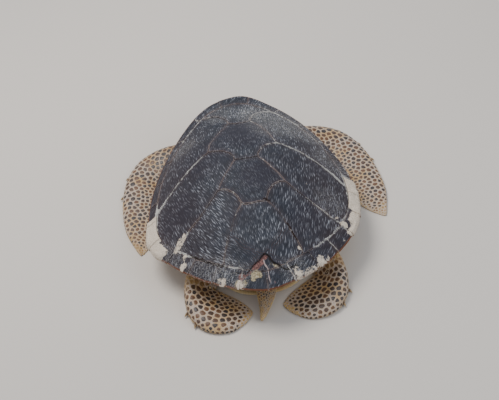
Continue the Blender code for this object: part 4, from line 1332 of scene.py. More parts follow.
place = place + normal * push[:, None]
place = shape_lids(place)
place[:, 2] = np.maximum(place[:, 2], 0.0010)
skin_mesh.vertices.foreach_set("co", place.ravel())
skin_mesh.update()
normal = array_of(skin_mesh.vertices, "normal", 3)

# How far along and across its limb each point of the hide is.
part_of_face = array_of(skin_mesh.attributes["part"].data, "value", 1, np.int32)
corners = array_of(skin_mesh.loops, "vertex_index", 1, np.int32).reshape(-1, 3)
part = np.zeros(len(place), np.int32)
part[corners.ravel()] = np.repeat(part_of_face, 3)
PART = {name: number for number, name in enumerate(("trunk", "head", "tail", *LIMBS))}


def limb_chart(name, points):
    """For plan points by a limb: share of the way along it, and share across from its trailing edge."""
    leading, trailing = limb_edges(name)
    spots = np.linspace(0, 1, 121)
    front, rear = curve(leading, spots), curve(trailing, spots)
    across = np.linspace(0, 1, 25)
    grid = rear[:, None] + (front - rear)[:, None] * across[None, :, None]
    tree = tree_of([(x, y, 0) for x, y in grid.reshape(-1, 2)])
    found = np.array([tree.find((x, y, 0))[1] for x, y in points[:, :2]])
    return spots[found // len(across)], across[found % len(across)]


blade = np.zeros(len(place))
for name in LIMBS:
    mine = np.flatnonzero(part == PART[name])
    blade[mine] = held((limb_chart(name, place[mine])[0] - 0.10) / 0.2)
store(skin_mesh, {"blade": blade, "below": held(0.35 - 1.3 * normal[:, 2])})

NET, NET_WARM, BELLY_HIDE = (0.50, 0.40, 0.32), (0.52, 0.33, 0.14), (0.60, 0.44, 0.24)
HIDE, HIDE_DARK = (0.42, 0.26, 0.12), (0.10, 0.060, 0.036)


def hide():
    material, tree, shader, place = new_material("hide")
    cloud = grain(place, 18, 4, 0.6)
    fine = grain(place, 380, 3, 0.6)
    pebble = add(tree, "TexVoronoi", Vector=place, Scale=330)
    colour = blend_of(ramp(cloud, 0.40, 0.62), HIDE, HIDE_DARK)
    colour = blend_of(attribute(tree, "blade"), colour, blend_of(ramp(cloud, 0.42, 0.66), NET, NET_WARM))
    colour = blend_of(times(attribute(tree, "below"), 0.85), colour, BELLY_HIDE)
    colour = blend_of(ramp(pebble, 0.30, 0.75, 0.0, 0.45), colour, (0.17, 0.10, 0.06))
    colour = blend_of(ramp(fine, 0.56, 0.72, 0.0, 0.5), colour, (0.55, 0.49, 0.42))
    surfaced(shader, colour, ramp(fine, 0.3, 0.7, 0.55, 0.78), scaled(pebble, -1.4, fine), 0.7, 0.0007)
    return material


skin_mesh.name = "skin"
skin_mesh.materials.clear()
skin_mesh.materials.append(hide())
skin_mesh.shade_smooth()
skin = placed("skin", skin_mesh)
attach(skin, "root")
FLESH = ["trunk", "neck", "head", "tail"]
FLESH += [f"{end}_flipper_{side}" for end in ("front", "hind") for side in ("left", "right")]
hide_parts(*FLESH)


# ------------------------------------------------------------------ scales
# Flat horny scales laid edge to edge in the hide: large and squarish along each flipper's
# leading edge, smaller toward the trailing edge and the root, dark with pale borders.

surface = BVHTree.FromPolygons(place.tolist(), corners.tolist())
chance = np.random.default_rng(7)


def candidates(faces, per_area):
    """Random points spread over some faces of the hide, with the hide's direction at each."""
    a, b, c = (place[corners[faces, k]] for k in range(3))
    turned = np.cross(b - a, c - a)
    area = np.linalg.norm(turned, axis=1) / 2
    pick = chance.choice(len(faces), int(area.sum() * per_area), p=area / area.sum())
    u, v = chance.random((2, len(pick), 1))
    u, v = np.where(u + v > 1, 1 - u, u), np.where(u + v > 1, 1 - v, v)
    spots = a[pick] + u * (b - a)[pick] + v * (c - a)[pick]
    mix = normal[corners[faces[pick]]]
    way = mix[:, 0] * (1 - u - v) + mix[:, 1] * u + mix[:, 2] * v
    return spots, unit(way)


def nearest_of(spots):
    """Distance from each spot to the one nearest to it."""
    tree = tree_of(spots)
    return np.array([tree.find_n(spot, 2)[1][2] for spot in spots])


def planted(fixed, spots, way, apart, settle=2, puff=0.010):
    """Scale middles: the fixed ones, then as many as fit among the spots with their own distances apart."""
    lifted = spots + way * puff
    tree = tree_of(lifted)
    alive = np.ones(len(spots), bool)
    for spot, out, reach in fixed:
        for _, k, _ in tree.find_range(np.asarray(spot) + np.asarray(out) * puff, reach):
            alive[k] = False
    kept = []
    for k in range(len(spots)):
        if alive[k]:
            kept.append(k)
            for _, other, _ in tree.find_range(lifted[k], apart[k]):
                alive[other] = False
    chosen, chosen_way = spots[kept], way[kept]
    anchors = np.array([spot for spot, _, _ in fixed]).reshape(-1, 3)
    anchor_way = np.array([out for _, out, _ in fixed]).reshape(-1, 3)
    for _ in range(settle):
        everyone = np.concatenate([anchors, chosen]) + puff * np.concatenate([anchor_way, chosen_way])
        near = tree_of(everyone)
        owner = np.array([near.find(point)[1] for point in lifted])
        total = np.zeros((len(everyone), 3))
        np.add.at(total, owner, spots)
        count = np.bincount(owner, minlength=len(everyone))
        middle = total / np.maximum(count, 1)[:, None]
        for k in range(len(chosen)):
            if count[len(anchors) + k] > 2:
                found, out, _, _ = surface.find_nearest(middle[len(anchors) + k])
                if out.dot(Vector(chosen_way[k])) > 0.5:
                    chosen[k], chosen_way[k] = found, out
    return np.concatenate([anchors, chosen]), np.concatenate([anchor_way, chosen_way])


def cells(spots, way, limit, gap, directions=14, roundness=9.0, blockers=None):
    """Reach of each scale in evenly turned directions, half way to its neighbours, with its two axes."""
    others = spots if blockers is None else np.concatenate([spots, blockers[0]])
    others_way = way if blockers is None else np.concatenate([way, blockers[1]])
    tree = tree_of(others)
    reach = np.zeros((len(spots), directions))
    start = chance.random(len(spots)) * 2 * np.pi
    flat = np.where(np.abs(way[:, 2:]) < 0.9, [[0, 0, 1.0]], [[0, 1.0, 0]])
    first = unit(np.cross(flat, way))
    second = np.cross(way, first)
    angle = start[:, None] + 2 * np.pi * np.arange(directions) / directions
    for k in range(len(spots)):
        near = [j for _, j, far in tree.find_n(spots[k], 22) if j != k and far > 1e-5]
        near = [j for j in near if others_way[j] @ way[k] > -0.2]
        offset = others[near] - spots[k]
        far = np.linalg.norm(offset, axis=1)
        heading = np.arctan2(offset @ second[k], offset @ first[k])
        aim = np.maximum(np.cos(angle[k][:, None] - heading), 0)
        share = (aim / np.maximum(far / 2 - gap / 2, 0.0004)) ** roundness
        reach[k] = (share.sum(1) + limit[k] ** -roundness) ** (-1 / roundness)
    return reach, angle, first, second


RINGS = ((0.42, 0.92), (0.76, 0.78), (0.93, 0.30), (1.0, -0.65))  # share of the reach, share of the height
UV_MIDDLE, UV_REACH = 0.5, 0.42  # in a cell of the UV map, the disc of a scale's upper side
UV_UNDER, UV_UNDER_REACH = 0.09, 0.06  # and the small disc of its hidden under side


def lay_out(mesh, across, up, patch):
    """A UV map that gives each small form a cell of its own, in columns by across and rows by up."""
    columns = int(math.ceil(math.sqrt(len(across))))
    rows = int(math.ceil(len(across) / columns))
    order = np.argsort(across, kind="stable")
    cell = np.zeros((len(across), 2))
    for column in range(columns):
        members = order[column * rows : (column + 1) * rows]
        members = members[np.argsort(up[members], kind="stable")]
        cell[members, 0], cell[members, 1] = column, np.arange(len(members))
    layer = mesh.uv_layers.new(name="OFBake")
    layer.data.foreach_set("uv", ((cell[:, None] + patch) / (columns, rows)).astype(np.float32).ravel())


def scale_plates(name, spots, way, reach, angle, first, second, height, chart, values, narrow=1.0):
    """All the scales of one part of the body in one piece, each a low closed plate. narrow thins their borders."""
    count, directions = reach.shape
    around = np.arange(directions)
    points, rims = [], []
    for k in range(count):
        middle, out = Vector(spots[k]), Vector(way[k])
        rings = [[], [], [], []]
        for i in around:
            spot = middle
            heading = Vector(first[k] * math.cos(angle[k, i]) + second[k] * math.sin(angle[k, i]))
            gone = 0.0
            for ring, (share, rise) in zip(rings, RINGS):
                spot, side, _, _ = surface.find_nearest(spot + heading * (share - gone) * float(reach[k, i]))
                heading = (heading - side * heading.dot(side)).normalized()
                gone = share
                ring.append(spot + side * height[k] * rise)
        points.append(middle + out * height[k])
        rims.append(float(reach[k].mean()))
        for ring, (share, _) in zip(rings, RINGS):
            points.extend(ring)
            rims.extend((1 - share) * reach[k])
    per = 1 + 4 * directions
    facets, corners_in = [], []
    after = (around + 1) % directions
    for i, j in zip(around, after):
        facets.append((0, 1 + i, 1 + j))
        corners_in += [(0, 0), (i, 1), (j, 1)]
    for ring in range(3):
        a, b = 1 + ring * directions, 1 + (ring + 1) * directions
        for i, j in zip(around, after):
            facets.append((a + i, b + i, b + j, a + j))
            corners_in += [(i, ring + 1), (i, ring + 2), (j, ring + 2), (j, ring + 1)]
    base = 1 + 3 * directions
    facets.append([base + i for i in around[::-1]])
    corners_in += [(i, 5) for i in around[::-1]]
    sizes = np.array([0] + [share for share, _ in RINGS] + [0])
    turn = 2 * np.pi * np.array([i for i, _ in corners_in]) / directions
    which = np.array([ring for _, ring in corners_in])
    turned = np.column_stack([np.cos(turn), np.sin(turn)])
    disc = UV_MIDDLE + UV_REACH * sizes[which][:, None] * turned
    patch = np.where((which == 5)[:, None], UV_UNDER + UV_UNDER_REACH * turned, disc)
    mesh = bpy.data.meshes.new(name)
    everything = [[k * per + i for i in face] for k in range(count) for face in facets]
    mesh.from_pydata([tuple(point) for point in points], [], everything)
    lay_out(mesh, *chart, patch)
    store(mesh, {key: np.repeat(series, per) for key, series in values.items()} | {"rim": np.array(rims) * narrow})
    mesh.shade_smooth()
    mesh.materials.append(scale_material)
    piece = placed(name, mesh)
    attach(piece, "root")


SCALE_DARK, SCALE_BROWN = (0.030, 0.022, 0.020), (0.115, 0.052, 0.024)
SCALE_AMBER, SCALE_CREAM, SCALE_YELLOW = (0.34, 0.17, 0.055), (0.56, 0.43, 0.28), (0.60, 0.40, 0.14)


def scale_horn():
    """Horn of the scales: dark (0 to 1) sets how brown a scale is, and rim is the distance to its edge."""
    material, tree, shader, place = new_material("scale_horn")
    cloud = grain(place, 60, 3, 0.6)
    fine = grain(place, 420, 3, 0.65)
    dark, tone, rim = attribute(tree, "dark"), attribute(tree, "tone"), attribute(tree, "rim")
    core = blend_of(ramp(scaled(cloud, 0.5, tone), 0.35, 1.25), SCALE_DARK, SCALE_BROWN)
    warm = blend_of(ramp(tone, 0.0, 1.0), SCALE_AMBER, SCALE_YELLOW)
    light = blend_of(ramp(dark, 0.10, 0.40), SCALE_YELLOW, warm)
    colour = blend_of(ramp(scaled(cloud, 0.3, dark), 0.40, 0.85), light, core)
    pale = blend_of(ramp(tone, 0.2, 0.9), SCALE_CREAM, SCALE_YELLOW)
    border = scaled(cloud, -0.0016, rim)
    colour = blend_of(ramp(border, -0.0002, 0.0011, 1.0, 0.0), colour, pale)
    middle = times(ramp(rim, 0.0022, 0.0050), ramp(dark, 0.05, 0.6, 0.75, 0.0))
    colour = blend_of(middle, colour, SCALE_BROWN)
    colour = blend_of(ramp(fine, 0.57, 0.72, 0.0, 0.35), colour, (0.50, 0.45, 0.39))
    surfaced(shader, colour, ramp(fine, 0.3, 0.7, 0.36, 0.58), scaled(cloud, 0.8, fine), 0.5, 0.0005)
    return material


scale_material = scale_horn()


def edge_row(line, other, apart, start, end, z_of):
    """Scales along one edge of a flipper, each folded over it: middles, directions and reach."""
    spots = np.linspace(start, end, 600)
    edge, inner = curve(line, spots), curve(other, spots)
    run = run_of(edge)
    row, at = [], 0.5 * apart(start)
    while at < run[-1]:
        share = np.interp(at, run, spots)
        spot, within = (np.array([np.interp(at, run, series) for series in row_of.T]) for row_of in (edge, inner))
        toward = spot - within
        aim = Vector((*(spot + 0.002 * unit(toward)), z_of(share)))
        found, out, _, _ = surface.find_nearest(aim)
        row.append((tuple(found), tuple(out), 0.78 * apart(share)))
        at += apart(share)
    return row


def flipper_scales(name):
    form = LIMBS[name][0]
    hind = name.startswith("hind")
    leading, trailing = limb_edges(name)
    root, lead, trail = (0.30, 0.0165, 0.0110) if hind else (0.22, 0.0200, 0.0115)

    def thickness(share):
        return float(curve(form["thickness"], np.array([share]))[0, 0])

    def lead_apart(share):
        return lead * float(np.interp(share, (0, 0.25, 0.6, 1), (0.55, 0.85, 1.0, 0.70)))

    def trail_apart(share):
        return trail * float(np.interp(share, (0, 0.3, 1), (0.7, 1.0, 0.85)))

    fixed = edge_row(leading, trailing, lead_apart, root - 0.06, 0.985, lambda share: 0.42 * thickness(share))
    fixed += edge_row(trailing, leading, trail_apart, root, 0.965, lambda share: 0.16 * thickness(share))
    faces = np.flatnonzero(part_of_face == PART[name])
    spots, way = candidates(faces, 1.1e6 if hind else 0.8e6)
    along, across = limb_chart(name, spots)
    keep = along > 0.035
    spots, way, along, across = spots[keep], way[keep], along[keep], across[keep]
    big = np.interp(across, (0, 0.18, 0.5, 0.8, 1), (0.0082, 0.0100, 0.0130, 0.0170, 0.0185))
    if hind:
        big = np.interp(across, (0, 0.2, 0.5, 0.8, 1), (0.0092, 0.0125, 0.0155, 0.0170, 0.0175))
    grow = held((along - 0.06) / (root - 0.04))
    apart = 0.0052 + (big - 0.0052) * grow**1.2
    apart *= np.interp(along, (0, 0.85, 1), (1, 1, 0.72)) * np.where(way[:, 2] < 0, 1.15, 1.0)
    spots, way = planted(fixed, spots, way, apart)
    along, across = limb_chart(name, spots)
    nearest = nearest_of(spots)
    limit = 0.62 * nearest + 0.0012
    reach, angle, first, second = cells(spots, way, limit, 0.0011)
    reach -= (0.0006 * held((along - 0.15) / 0.3) * held(nearest / 0.012))[:, None]
    size = reach.mean(1)
    height = 0.0005 + 0.055 * np.clip(size, 0.002, 0.012)
    tone = chance.random(len(spots))
    below = way[:, 2] < -0.25
    dark = np.interp(along, (0, 0.14, 0.28, 1), (0.25, 0.45, 0.95, 0.95)) + 0.25 * (tone - 0.5)
    dark *= held(across / 0.16) ** 0.7
    dark = np.where(along > 0.93, dark * 0.5, dark)
    dark = np.where(below, np.where(chance.random(len(spots)) < 0.14 * (along > 0.3), 0.8, 0.04), dark)
    if hind:
        dark *= np.interp(along, (0, 0.3, 0.42, 0.88, 0.97), (0.4, 0.55, 1, 1, 0.5))
    chart = along, np.where(below, 2 - across, across)
    values = {"dark": held(dark), "tone": tone}
    scale_plates(f"{name}_scales", spots, way, reach, angle, first, second, height, chart, values, 1.35)


for name in LIMBS:
    flipper_scales(name)


# ------------------------------------------------------------------ head shields, neck and tail scales
# Thin horny shields in a set pattern over the crown and cheeks, small soft ones on the lids
# and throat, and rounded scales in loose rows down the neck and tail.

CROWN_SHIELDS = (  # distance right of the midline, distance ahead: prefrontals, frontal, parietals, nape
    (0.0088, 0.5375), (0.0130, 0.5225), (0.0, 0.5090), (0.0245, 0.5040), (0.0, 0.4865), (0.0205, 0.4770),
    (0.0, 0.4630), (0.0190, 0.4520), (0.0, 0.4440), (0.0350, 0.4650),
)
CHEEK_SHIELDS = (  # distance ahead and height: behind the eye, under it, over the ear and along the jaw
    (0.4770, 0.0850), (0.4745, 0.0715), (0.4770, 0.0580), (0.4905, 0.0470), (0.5050, 0.0470), (0.5205, 0.0720),
    (0.4605, 0.0790), (0.4590, 0.0650), (0.4630, 0.0505), (0.4470, 0.0720), (0.4455, 0.0560), (0.4760, 0.0410),
    (0.4610, 0.0370), (0.4450, 0.0400), (0.5000, 0.0310), (0.5080, 0.0190), (0.4880, 0.0250), (0.5160, 0.0500),
)


def beak_ghosts(spots, way):
    """Mirror images of the scales beside the beak, so that no scale runs on under the horn."""
    ghosts, ghost_way = [], []
    for upper, inward, depth, over in beak_sides(spots):
        near = (depth > -0.016) & (depth < -0.0004) & ((over > -0.004) == upper) & (spots[:, 1] > 0.49)
        image = spots[near].copy()
        image[:, 1:] -= 2 * (depth[near][:, None] - 0.0008) * inward
        ghosts.append(image)
        ghost_way.append(way[near])
    return np.concatenate(ghosts), np.concatenate(ghost_way)


def from_eyes(points):
    return np.minimum(*(np.linalg.norm(points - np.array(spot), axis=1) for spot in EYE_SPOTS))


shields = []
for x, y in CROWN_SHIELDS:
    for side in (1, -1) if x else (1,):
        found, out, _, _ = surface.ray_cast(Vector((x * side, y, 0.2)), Vector((0, 0, -1)))
        shields.append((tuple(found), tuple(out), 0.0132))
for y, z in CHEEK_SHIELDS:
    for side in (1, -1):
        found, out, _, _ = surface.ray_cast(Vector((0.2 * side, y, z)), Vector((-side, 0, 0)))
        shields.append((tuple(found), tuple(out), 0.0090))
faces = np.flatnonzero(part_of_face == PART["head"])
middle = place[corners[faces]].mean(1)
faces = faces[(middle[:, 1] > 0.288) & (beak_depth(middle) < 0)]
spots, way = candidates(faces, 3.0e6)
eye_far = from_eyes(spots)
open_lid = np.zeros(len(spots), bool)
for side in (1, -1):
    far, ahead, above, _, depth = eye_angles(spots, side)
    above = above - 0.10 * ahead
    share = np.clip(1 - (ahead / (LID_LONG + 0.10)) ** 2, 0, None)
    open_lid |= (far < 0.020) & (depth > 0) & (np.abs(above) < (LID_OPEN + 0.12) * share**0.8) & (share > 0)
keep = ~open_lid & (beak_depth(spots) < -0.0012)
spots, way, eye_far = spots[keep], way[keep], eye_far[keep]
apart = np.interp(spots[:, 1], (0.29, 0.34, 0.40, 0.44, 0.50), (0.0062, 0.0070, 0.0078, 0.0082, 0.0072))
apart *= np.where(way[:, 2] < -0.2, 0.86, 1.0)
apart = np.where(eye_far < 0.0185, 0.0031, apart)
spots, way = planted(shields, spots, way, apart, settle=1, puff=0.003)
eye_far = from_eyes(spots)
limit = 0.66 * nearest_of(spots) + 0.0008
ghosts, ghost_way = beak_ghosts(spots, way)
lids = []
for side in (1, -1):
    for turn in evenly(24):
        sideways = LOOK_AHEAD * math.cos(turn) + LOOK_ABOVE * math.sin(turn)
        aim = LOOK * math.cos(LID_EDGE) + sideways * math.sin(LID_EDGE)
        lids.append((np.array(EYE_PLACE) + LID_RADIUS * aim) * (side, 1, 1))
lid_way = np.array([(spot - np.array(EYE_SPOTS[0 if spot[0] > 0 else 1])) / LID_RADIUS for spot in lids])
large, small = slice(None, len(shields)), slice(len(shields), None)

around_large = np.concatenate([ghosts, lids, spots[small]]), np.concatenate([ghost_way, lid_way, way[small]])
large_cells = cells(spots[large], way[large], np.full(len(shields), 0.0150), 0.0006, 18, 14.0, around_large)
x, y, z = spots[large].T
values = {"tone": chance.random(len(x)) * 0.5 + 0.15, "dark": np.where(z > 0.040, 0.92, 0.55)}
chart = y, np.arctan2(x, z - 0.05)
height = np.full(len(x), 0.0010)
scale_plates("head_shields", spots[large], way[large], *large_cells, height, chart, values, 1.7)

around_small = np.concatenate([ghosts, spots[large]]), np.concatenate([ghost_way, way[large]])
small_cells = cells(spots[small], way[small], limit[small], 0.0007, 11, 9.0, around_small)
x, y, z = spots[small].T
tone = chance.random(len(x))
up_side = held(0.55 + 0.75 * way[small][:, 2])
dark = (0.25 + 0.65 * held((y - 0.33) / 0.10)) * up_side + 0.2 * (tone - 0.5)
dark = np.where(eye_far[small] < 0.019, 0.75, dark)
height = 0.0004 + 0.075 * np.clip(small_cells[0].mean(1), 0.001, 0.008)
chart = y, np.arctan2(x, z - 0.055)
values = {"dark": held(dark), "tone": tone}
scale_plates("neck_scales", spots[small], way[small], *small_cells, height, chart, values, 1.5)

faces = np.flatnonzero(part_of_face == PART["tail"])
faces = faces[place[corners[faces]].mean(1)[:, 1] < -0.262]
spots, way = candidates(faces, 2.0e6)
apart = np.interp(spots[:, 1], (-0.418, -0.36, -0.27), (0.0045, 0.0070, 0.0085))
spots, way = planted([], spots, way, apart, puff=0.003)
tail_cells = cells(spots, way, 0.62 * nearest_of(spots) + 0.001, 0.0008, 11)
tone = chance.random(len(spots))
dark = 0.75 * held(0.45 + 0.9 * way[:, 2]) * np.clip((spots[:, 1] + 0.42) / 0.03, 0.3, 1)
height = 0.0004 + 0.075 * np.clip(tail_cells[0].mean(1), 0.001, 0.008)
chart = spots[:, 1], np.arctan2(spots[:, 0], spots[:, 2] - 0.02)
scale_plates("tail_scales", spots, way, *tail_cells, height, chart, {"dark": dark, "tone": tone})


# ------------------------------------------------------------------ pebbled hide
# Between the shell, neck and limbs the hide carries no real scales, only soft low granules
# that sit closer together where it creases.

GRANULE_APART, GRANULE_SIZE, GRANULE_SIDES = 0.0062, 0.0030, 7
GRANULE_RINGS = ((1.0, -0.25), (0.86, 0.14), (0.48, 0.30))  # reach and height


def granule():
    """One low rounded granule with its top at Z, as a closed shape."""
    bm = bmesh.new()
    rounds = []
    turns = [2 * math.pi * i / GRANULE_SIDES for i in range(GRANULE_SIDES)]
    for share, rise in GRANULE_RINGS:
        rounds.append([bm.verts.new((share * math.cos(a), share * math.sin(a), rise)) for a in turns])
    top = bm.verts.new((0, 0, 0.34))
    steps = [(i, (i + 1) % GRANULE_SIDES) for i in range(GRANULE_SIDES)]
    for a, b in zip(rounds, rounds[1:]):
        for i, j in steps:
            bm.faces.new((a[i], a[j], b[j], b[i]))
    for i, j in steps:
        bm.faces.new((rounds[-1][i], rounds[-1][j], top))
    bm.faces.new(rounds[0][::-1])
    mesh = bpy.data.meshes.new("granule")
    bm.to_mesh(mesh)
    bm.free()
    mesh.shade_smooth()
    return placed("granule", mesh)


def granule_tree():
    """Nodes that plant copies of the granule on the hide, and the sockets for their settings."""
    tree = bpy.data.node_groups.new("granules", "GeometryNodeTree")
    sockets = {}
    for name, kind in (
        ("Geometry", "Geometry"), ("Granule", "Object"), ("Apart", "Float"), ("Size", "Float"), ("Seed", "Int"),
        ("Material", "Material"),
    ):
        sockets[name] = tree.interface.new_socket(name, in_out="INPUT", socket_type=f"NodeSocket{kind}").identifier
    tree.interface.new_socket("Geometry", in_out="OUTPUT", socket_type="NodeSocketGeometry")
    start, end, spread, plant, piece, vary, larger, mask, real, paint = (
        tree.nodes.new(kind)
        for kind in (
            "NodeGroupInput", "NodeGroupOutput", "GeometryNodeDistributePointsOnFaces",
            "GeometryNodeInstanceOnPoints", "GeometryNodeObjectInfo", "FunctionNodeRandomValue", "ShaderNodeMath",
            "GeometryNodeInputNamedAttribute", "GeometryNodeRealizeInstances", "GeometryNodeSetMaterial",
        )
    )
    spread.distribute_method, larger.operation = "POISSON", "MULTIPLY"
    vary.inputs["Min"].default_value, vary.inputs["Max"].default_value = 0.72, 1.15
    mask.inputs["Name"].default_value, spread.inputs["Density Max"].default_value = "granular", 60000
    for source, out, target, into in (
        (start, "Geometry", spread, "Mesh"), (start, "Apart", spread, "Distance Min"),
        (start, "Seed", spread, "Seed"), (mask, "Attribute", spread, "Density Factor"),
        (start, "Granule", piece, "Object"),
        (spread, "Points", plant, "Points"), (spread, "Rotation", plant, "Rotation"),
        (piece, "Geometry", plant, "Instance"), (start, "Seed", vary, "Seed"), (vary, 1, larger, 0),
        (start, "Size", larger, 1), (larger, 0, plant, "Scale"), (plant, "Instances", real, "Geometry"),
        (real, "Geometry", paint, "Geometry"), (start, "Material", paint, "Material"),
        (paint, "Geometry", end, "Geometry"),
    ):
        tree.links.new(source.outputs[out], target.inputs[into])
    return tree, sockets


def granule_hide():
    material, _, shader, place = new_material("granule_hide")
    cloud = grain(place, 18, 4, 0.6)
    fine = grain(place, 380, 3, 0.6)
    colour = blend_of(ramp(cloud, 0.38, 0.60), (0.50, 0.33, 0.15), (0.15, 0.090, 0.050))
    colour = blend_of(ramp(grain(place, 120, 2), 0.45, 0.62, 0.0, 0.6), colour, (0.56, 0.42, 0.24))
    surfaced(shader, colour, 0.55, fine, 0.4, 0.0004)
    return material


x, y, z = place.T
rim = rim_height(y)
body = (part == PART["trunk"]) & (z > 0.022) & (z < rim - 0.035) & (normal[:, 2] < 0.6)
ahead_wall = held((y - 0.10) / 0.06) + held((-0.17 - y) / 0.05)
granular = np.where(body, held(ahead_wall), 0.0)
for name in LIMBS:
    mine = np.flatnonzero(part == PART[name])
    along = limb_chart(name, place[mine])[0]
    granular[mine] = held((0.060 - along) / 0.03)
granular = np.where((part == PART["head"]) & (y < 0.290) & (z > 0.015), 1.0, granular)
store(skin_mesh, {"granular": granular})
seedling = granule()
tree, sockets = granule_tree()
spread_over = placed("granules", skin_mesh.copy())
modifier = spread_over.modifiers.new("granules", "NODES")
modifier.node_group = tree
for key, value in (
    ("Granule", seedling), ("Apart", GRANULE_APART), ("Size", GRANULE_SIZE), ("Seed", 3), ("Material", granule_hide())
):
    modifier[sockets[key]] = value
granules_mesh = bpy.data.meshes.new_from_object(spread_over.evaluated_get(bpy.context.evaluated_depsgraph_get()))
bpy.data.objects.remove(spread_over, do_unlink=True)
bpy.data.objects.remove(seedling, do_unlink=True)
granules_mesh.name = "granules"
per = len(GRANULE_RINGS) * GRANULE_SIDES + 1
middle = array_of(granules_mesh.vertices, "co", 3).reshape(-1, per, 3).mean(1)
corner = array_of(granules_mesh.loops, "vertex_index", 1, np.int32).reshape(len(middle), -1) % per
turns = np.append(np.tile(2 * np.pi * np.arange(GRANULE_SIDES) / GRANULE_SIDES, len(GRANULE_RINGS)), 0)
sizes = np.append(np.repeat([share for share, _ in GRANULE_RINGS], GRANULE_SIDES), 0)
patch = sizes[corner][..., None] * np.column_stack([np.cos(turns), np.sin(turns)])[corner]
shown = (np.arange(corner.shape[1]) < corner.shape[1] - GRANULE_SIDES)[:, None]  # all but the under side
patch = np.where(shown, UV_MIDDLE + UV_REACH * patch, UV_UNDER + UV_UNDER_REACH * patch)
lay_out(granules_mesh, np.arctan2(middle[:, 0], middle[:, 1]), middle[:, 2], patch)
granules = placed("granules", granules_mesh)
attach(granules, "root")


# ------------------------------------------------------------------ beak
# Two sheaths of amber horn streaked with brown, narrow and hooked over at the tip, with the
# nostrils high in front. The lower sheath closes inside the upper one.

MOUTH_GAP, LOWER_INSET = 0.0004, 0.0009
SHEATH_ENDS, BEAK_TIP = (0.4990, 0.5740), 0.5752
NOSTRIL, NOSTRIL_RADIUS = Vector((0.0048, 0.5665, 0.0560)), 0.0034


def beak_horn():
    material, tree, shader, place = new_material("beak_horn")
    streak = grain(add(tree, "Mapping", Vector=place, Scale=(170, 26, 60)), 1, 3, 0.6)
    cloud = grain(place, 40, 4, 0.6)
    fine = grain(place, 500, 3, 0.6)
    mouth, rear = attribute(tree, "mouth"), attribute(tree, "rear")
    colour = blend_of(ramp(cloud, 0.35, 0.65), (0.42, 0.25, 0.085), (0.56, 0.38, 0.16))
    dark = ramp(scaled(cloud, 0.5, streak), 0.72, 0.92)
    colour = blend_of(times(dark, 0.80), colour, (0.060, 0.030, 0.018))
    colour = blend_of(ramp(mouth, 0.0, 0.0022, 0.75, 0.0), colour, (0.045, 0.025, 0.016))
    colour = blend_of(ramp(rear, 0.0, 0.0016, 0.85, 0.0), colour, (0.040, 0.024, 0.018))
    rings = growth_rings(cloud, 0.006, rear, 1700)
    colour = blend_of(ramp(rings, 0.2, 1.0, 0.0, 0.22), colour, (0.17, 0.09, 0.04))
    relief = scaled(rings, 0.35, scaled(streak, 0.6, fine))
    surfaced(shader, colour, ramp(fine, 0.3, 0.7, 0.28, 0.46), relief, 0.4, 0.0005)
    return material


def sheath(name, upper, material):
    rings = head_form(*SHEATH_ENDS, 0.0 if upper else LOWER_INSET)
    bm = bmesh.new()
    rounds = [[bm.verts.new(point) for point in ring] for ring in rings]
    for a, b in zip(rounds, rounds[1:]):
        for i in range(len(a)):
            bm.faces.new((a[i], a[(i + 1) % len(a)], b[(i + 1) % len(a)], b[i]))
    bm.faces.new(rounds[0][::-1])
    tip = bm.verts.new((0, BEAK_TIP, sum(v.co.z for v in rounds[-1]) / len(rounds[-1])))
    for i, v in enumerate(rounds[-1]):
        bm.faces.new((v, rounds[-1][i + 1 - len(rounds[-1])], tip))
    bmesh.ops.recalc_face_normals(bm, faces=bm.faces)
    corner = Vector((0, *MOUTH_CORNER))
    mouth = Vector((0, *MOUTH_TIP)) - corner
    mouth_way = Vector((0, -mouth.z, mouth.y)).normalized() * (1 if upper else -1)
    back_run = Vector((0, *(BEAK_TOP if upper else BEAK_CHIN))) - corner
    back_way = Vector((0, back_run.z, -back_run.y)).normalized() * (1 if upper else -1)
    for point, way in ((corner + mouth_way * MOUTH_GAP, mouth_way), (corner + back_way * 0.0003, back_way)):
        everything = bm.verts[:] + bm.edges[:] + bm.faces[:]
        cut = bmesh.ops.bisect_plane(
            bm, geom=everything, dist=1e-6, plane_co=point, plane_no=way, clear_inner=True
        )["geom_cut"]
        loop = [item for item in cut if isinstance(item, bmesh.types.BMEdge) and item.is_boundary]
        bmesh.ops.triangle_fill(bm, use_beauty=True, edges=loop)
    bmesh.ops.subdivide_edges(bm, edges=[e for e in bm.edges if e.calc_length() > 0.0035], cuts=1)
    bmesh.ops.triangulate(bm, faces=bm.faces)
    bmesh.ops.recalc_face_normals(bm, faces=bm.faces)
    mouth_far = bm.verts.layers.float.new("mouth")
    rear_far = bm.verts.layers.float.new("rear")
    for v in bm.verts:
        v[mouth_far] = (v.co - corner).dot(mouth_way)
        v[rear_far] = (v.co - corner).dot(back_way)
        toward_tip = min(max((v.co.y - 0.553) / 0.021, 0), 1)
        if upper:  # the tip hooks down
            v.co.z -= 0.0036 * toward_tip**2 * math.exp(-max(v[mouth_far], 0) / 0.006)
            if v[mouth_far] < 0.002:  # the cutting edge turns in a little
                v.co.x *= 0.975
        else:
            v.co.y -= 0.0045 * toward_tip
            v.co.x *= 1 - 0.10 * toward_tip
        for side in (1, -1):
            far = (v.co - Vector((side * NOSTRIL.x, NOSTRIL.y, NOSTRIL.z))).length / NOSTRIL_RADIUS
            if upper and far < 1:
                v.co.y -= 0.0030 * (1 - far**2) ** 0.7
                v.co.z -= 0.0010 * (1 - far**2)
        if v[rear_far] < 0.001:
            v.co -= Vector((v.co.x, 0, v.co.z - 0.05)).normalized() * 0.0006
    mesh = bpy.data.meshes.new(name)
    bm.to_mesh(mesh)
    bm.free()
    mesh.shade_smooth()
    mesh.set_sharp_from_angle(angle=math.radians(48))
    mesh.materials.append(material)
    piece = placed(f"{name}_horn", mesh)
    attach(piece, "root")
    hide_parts(name)


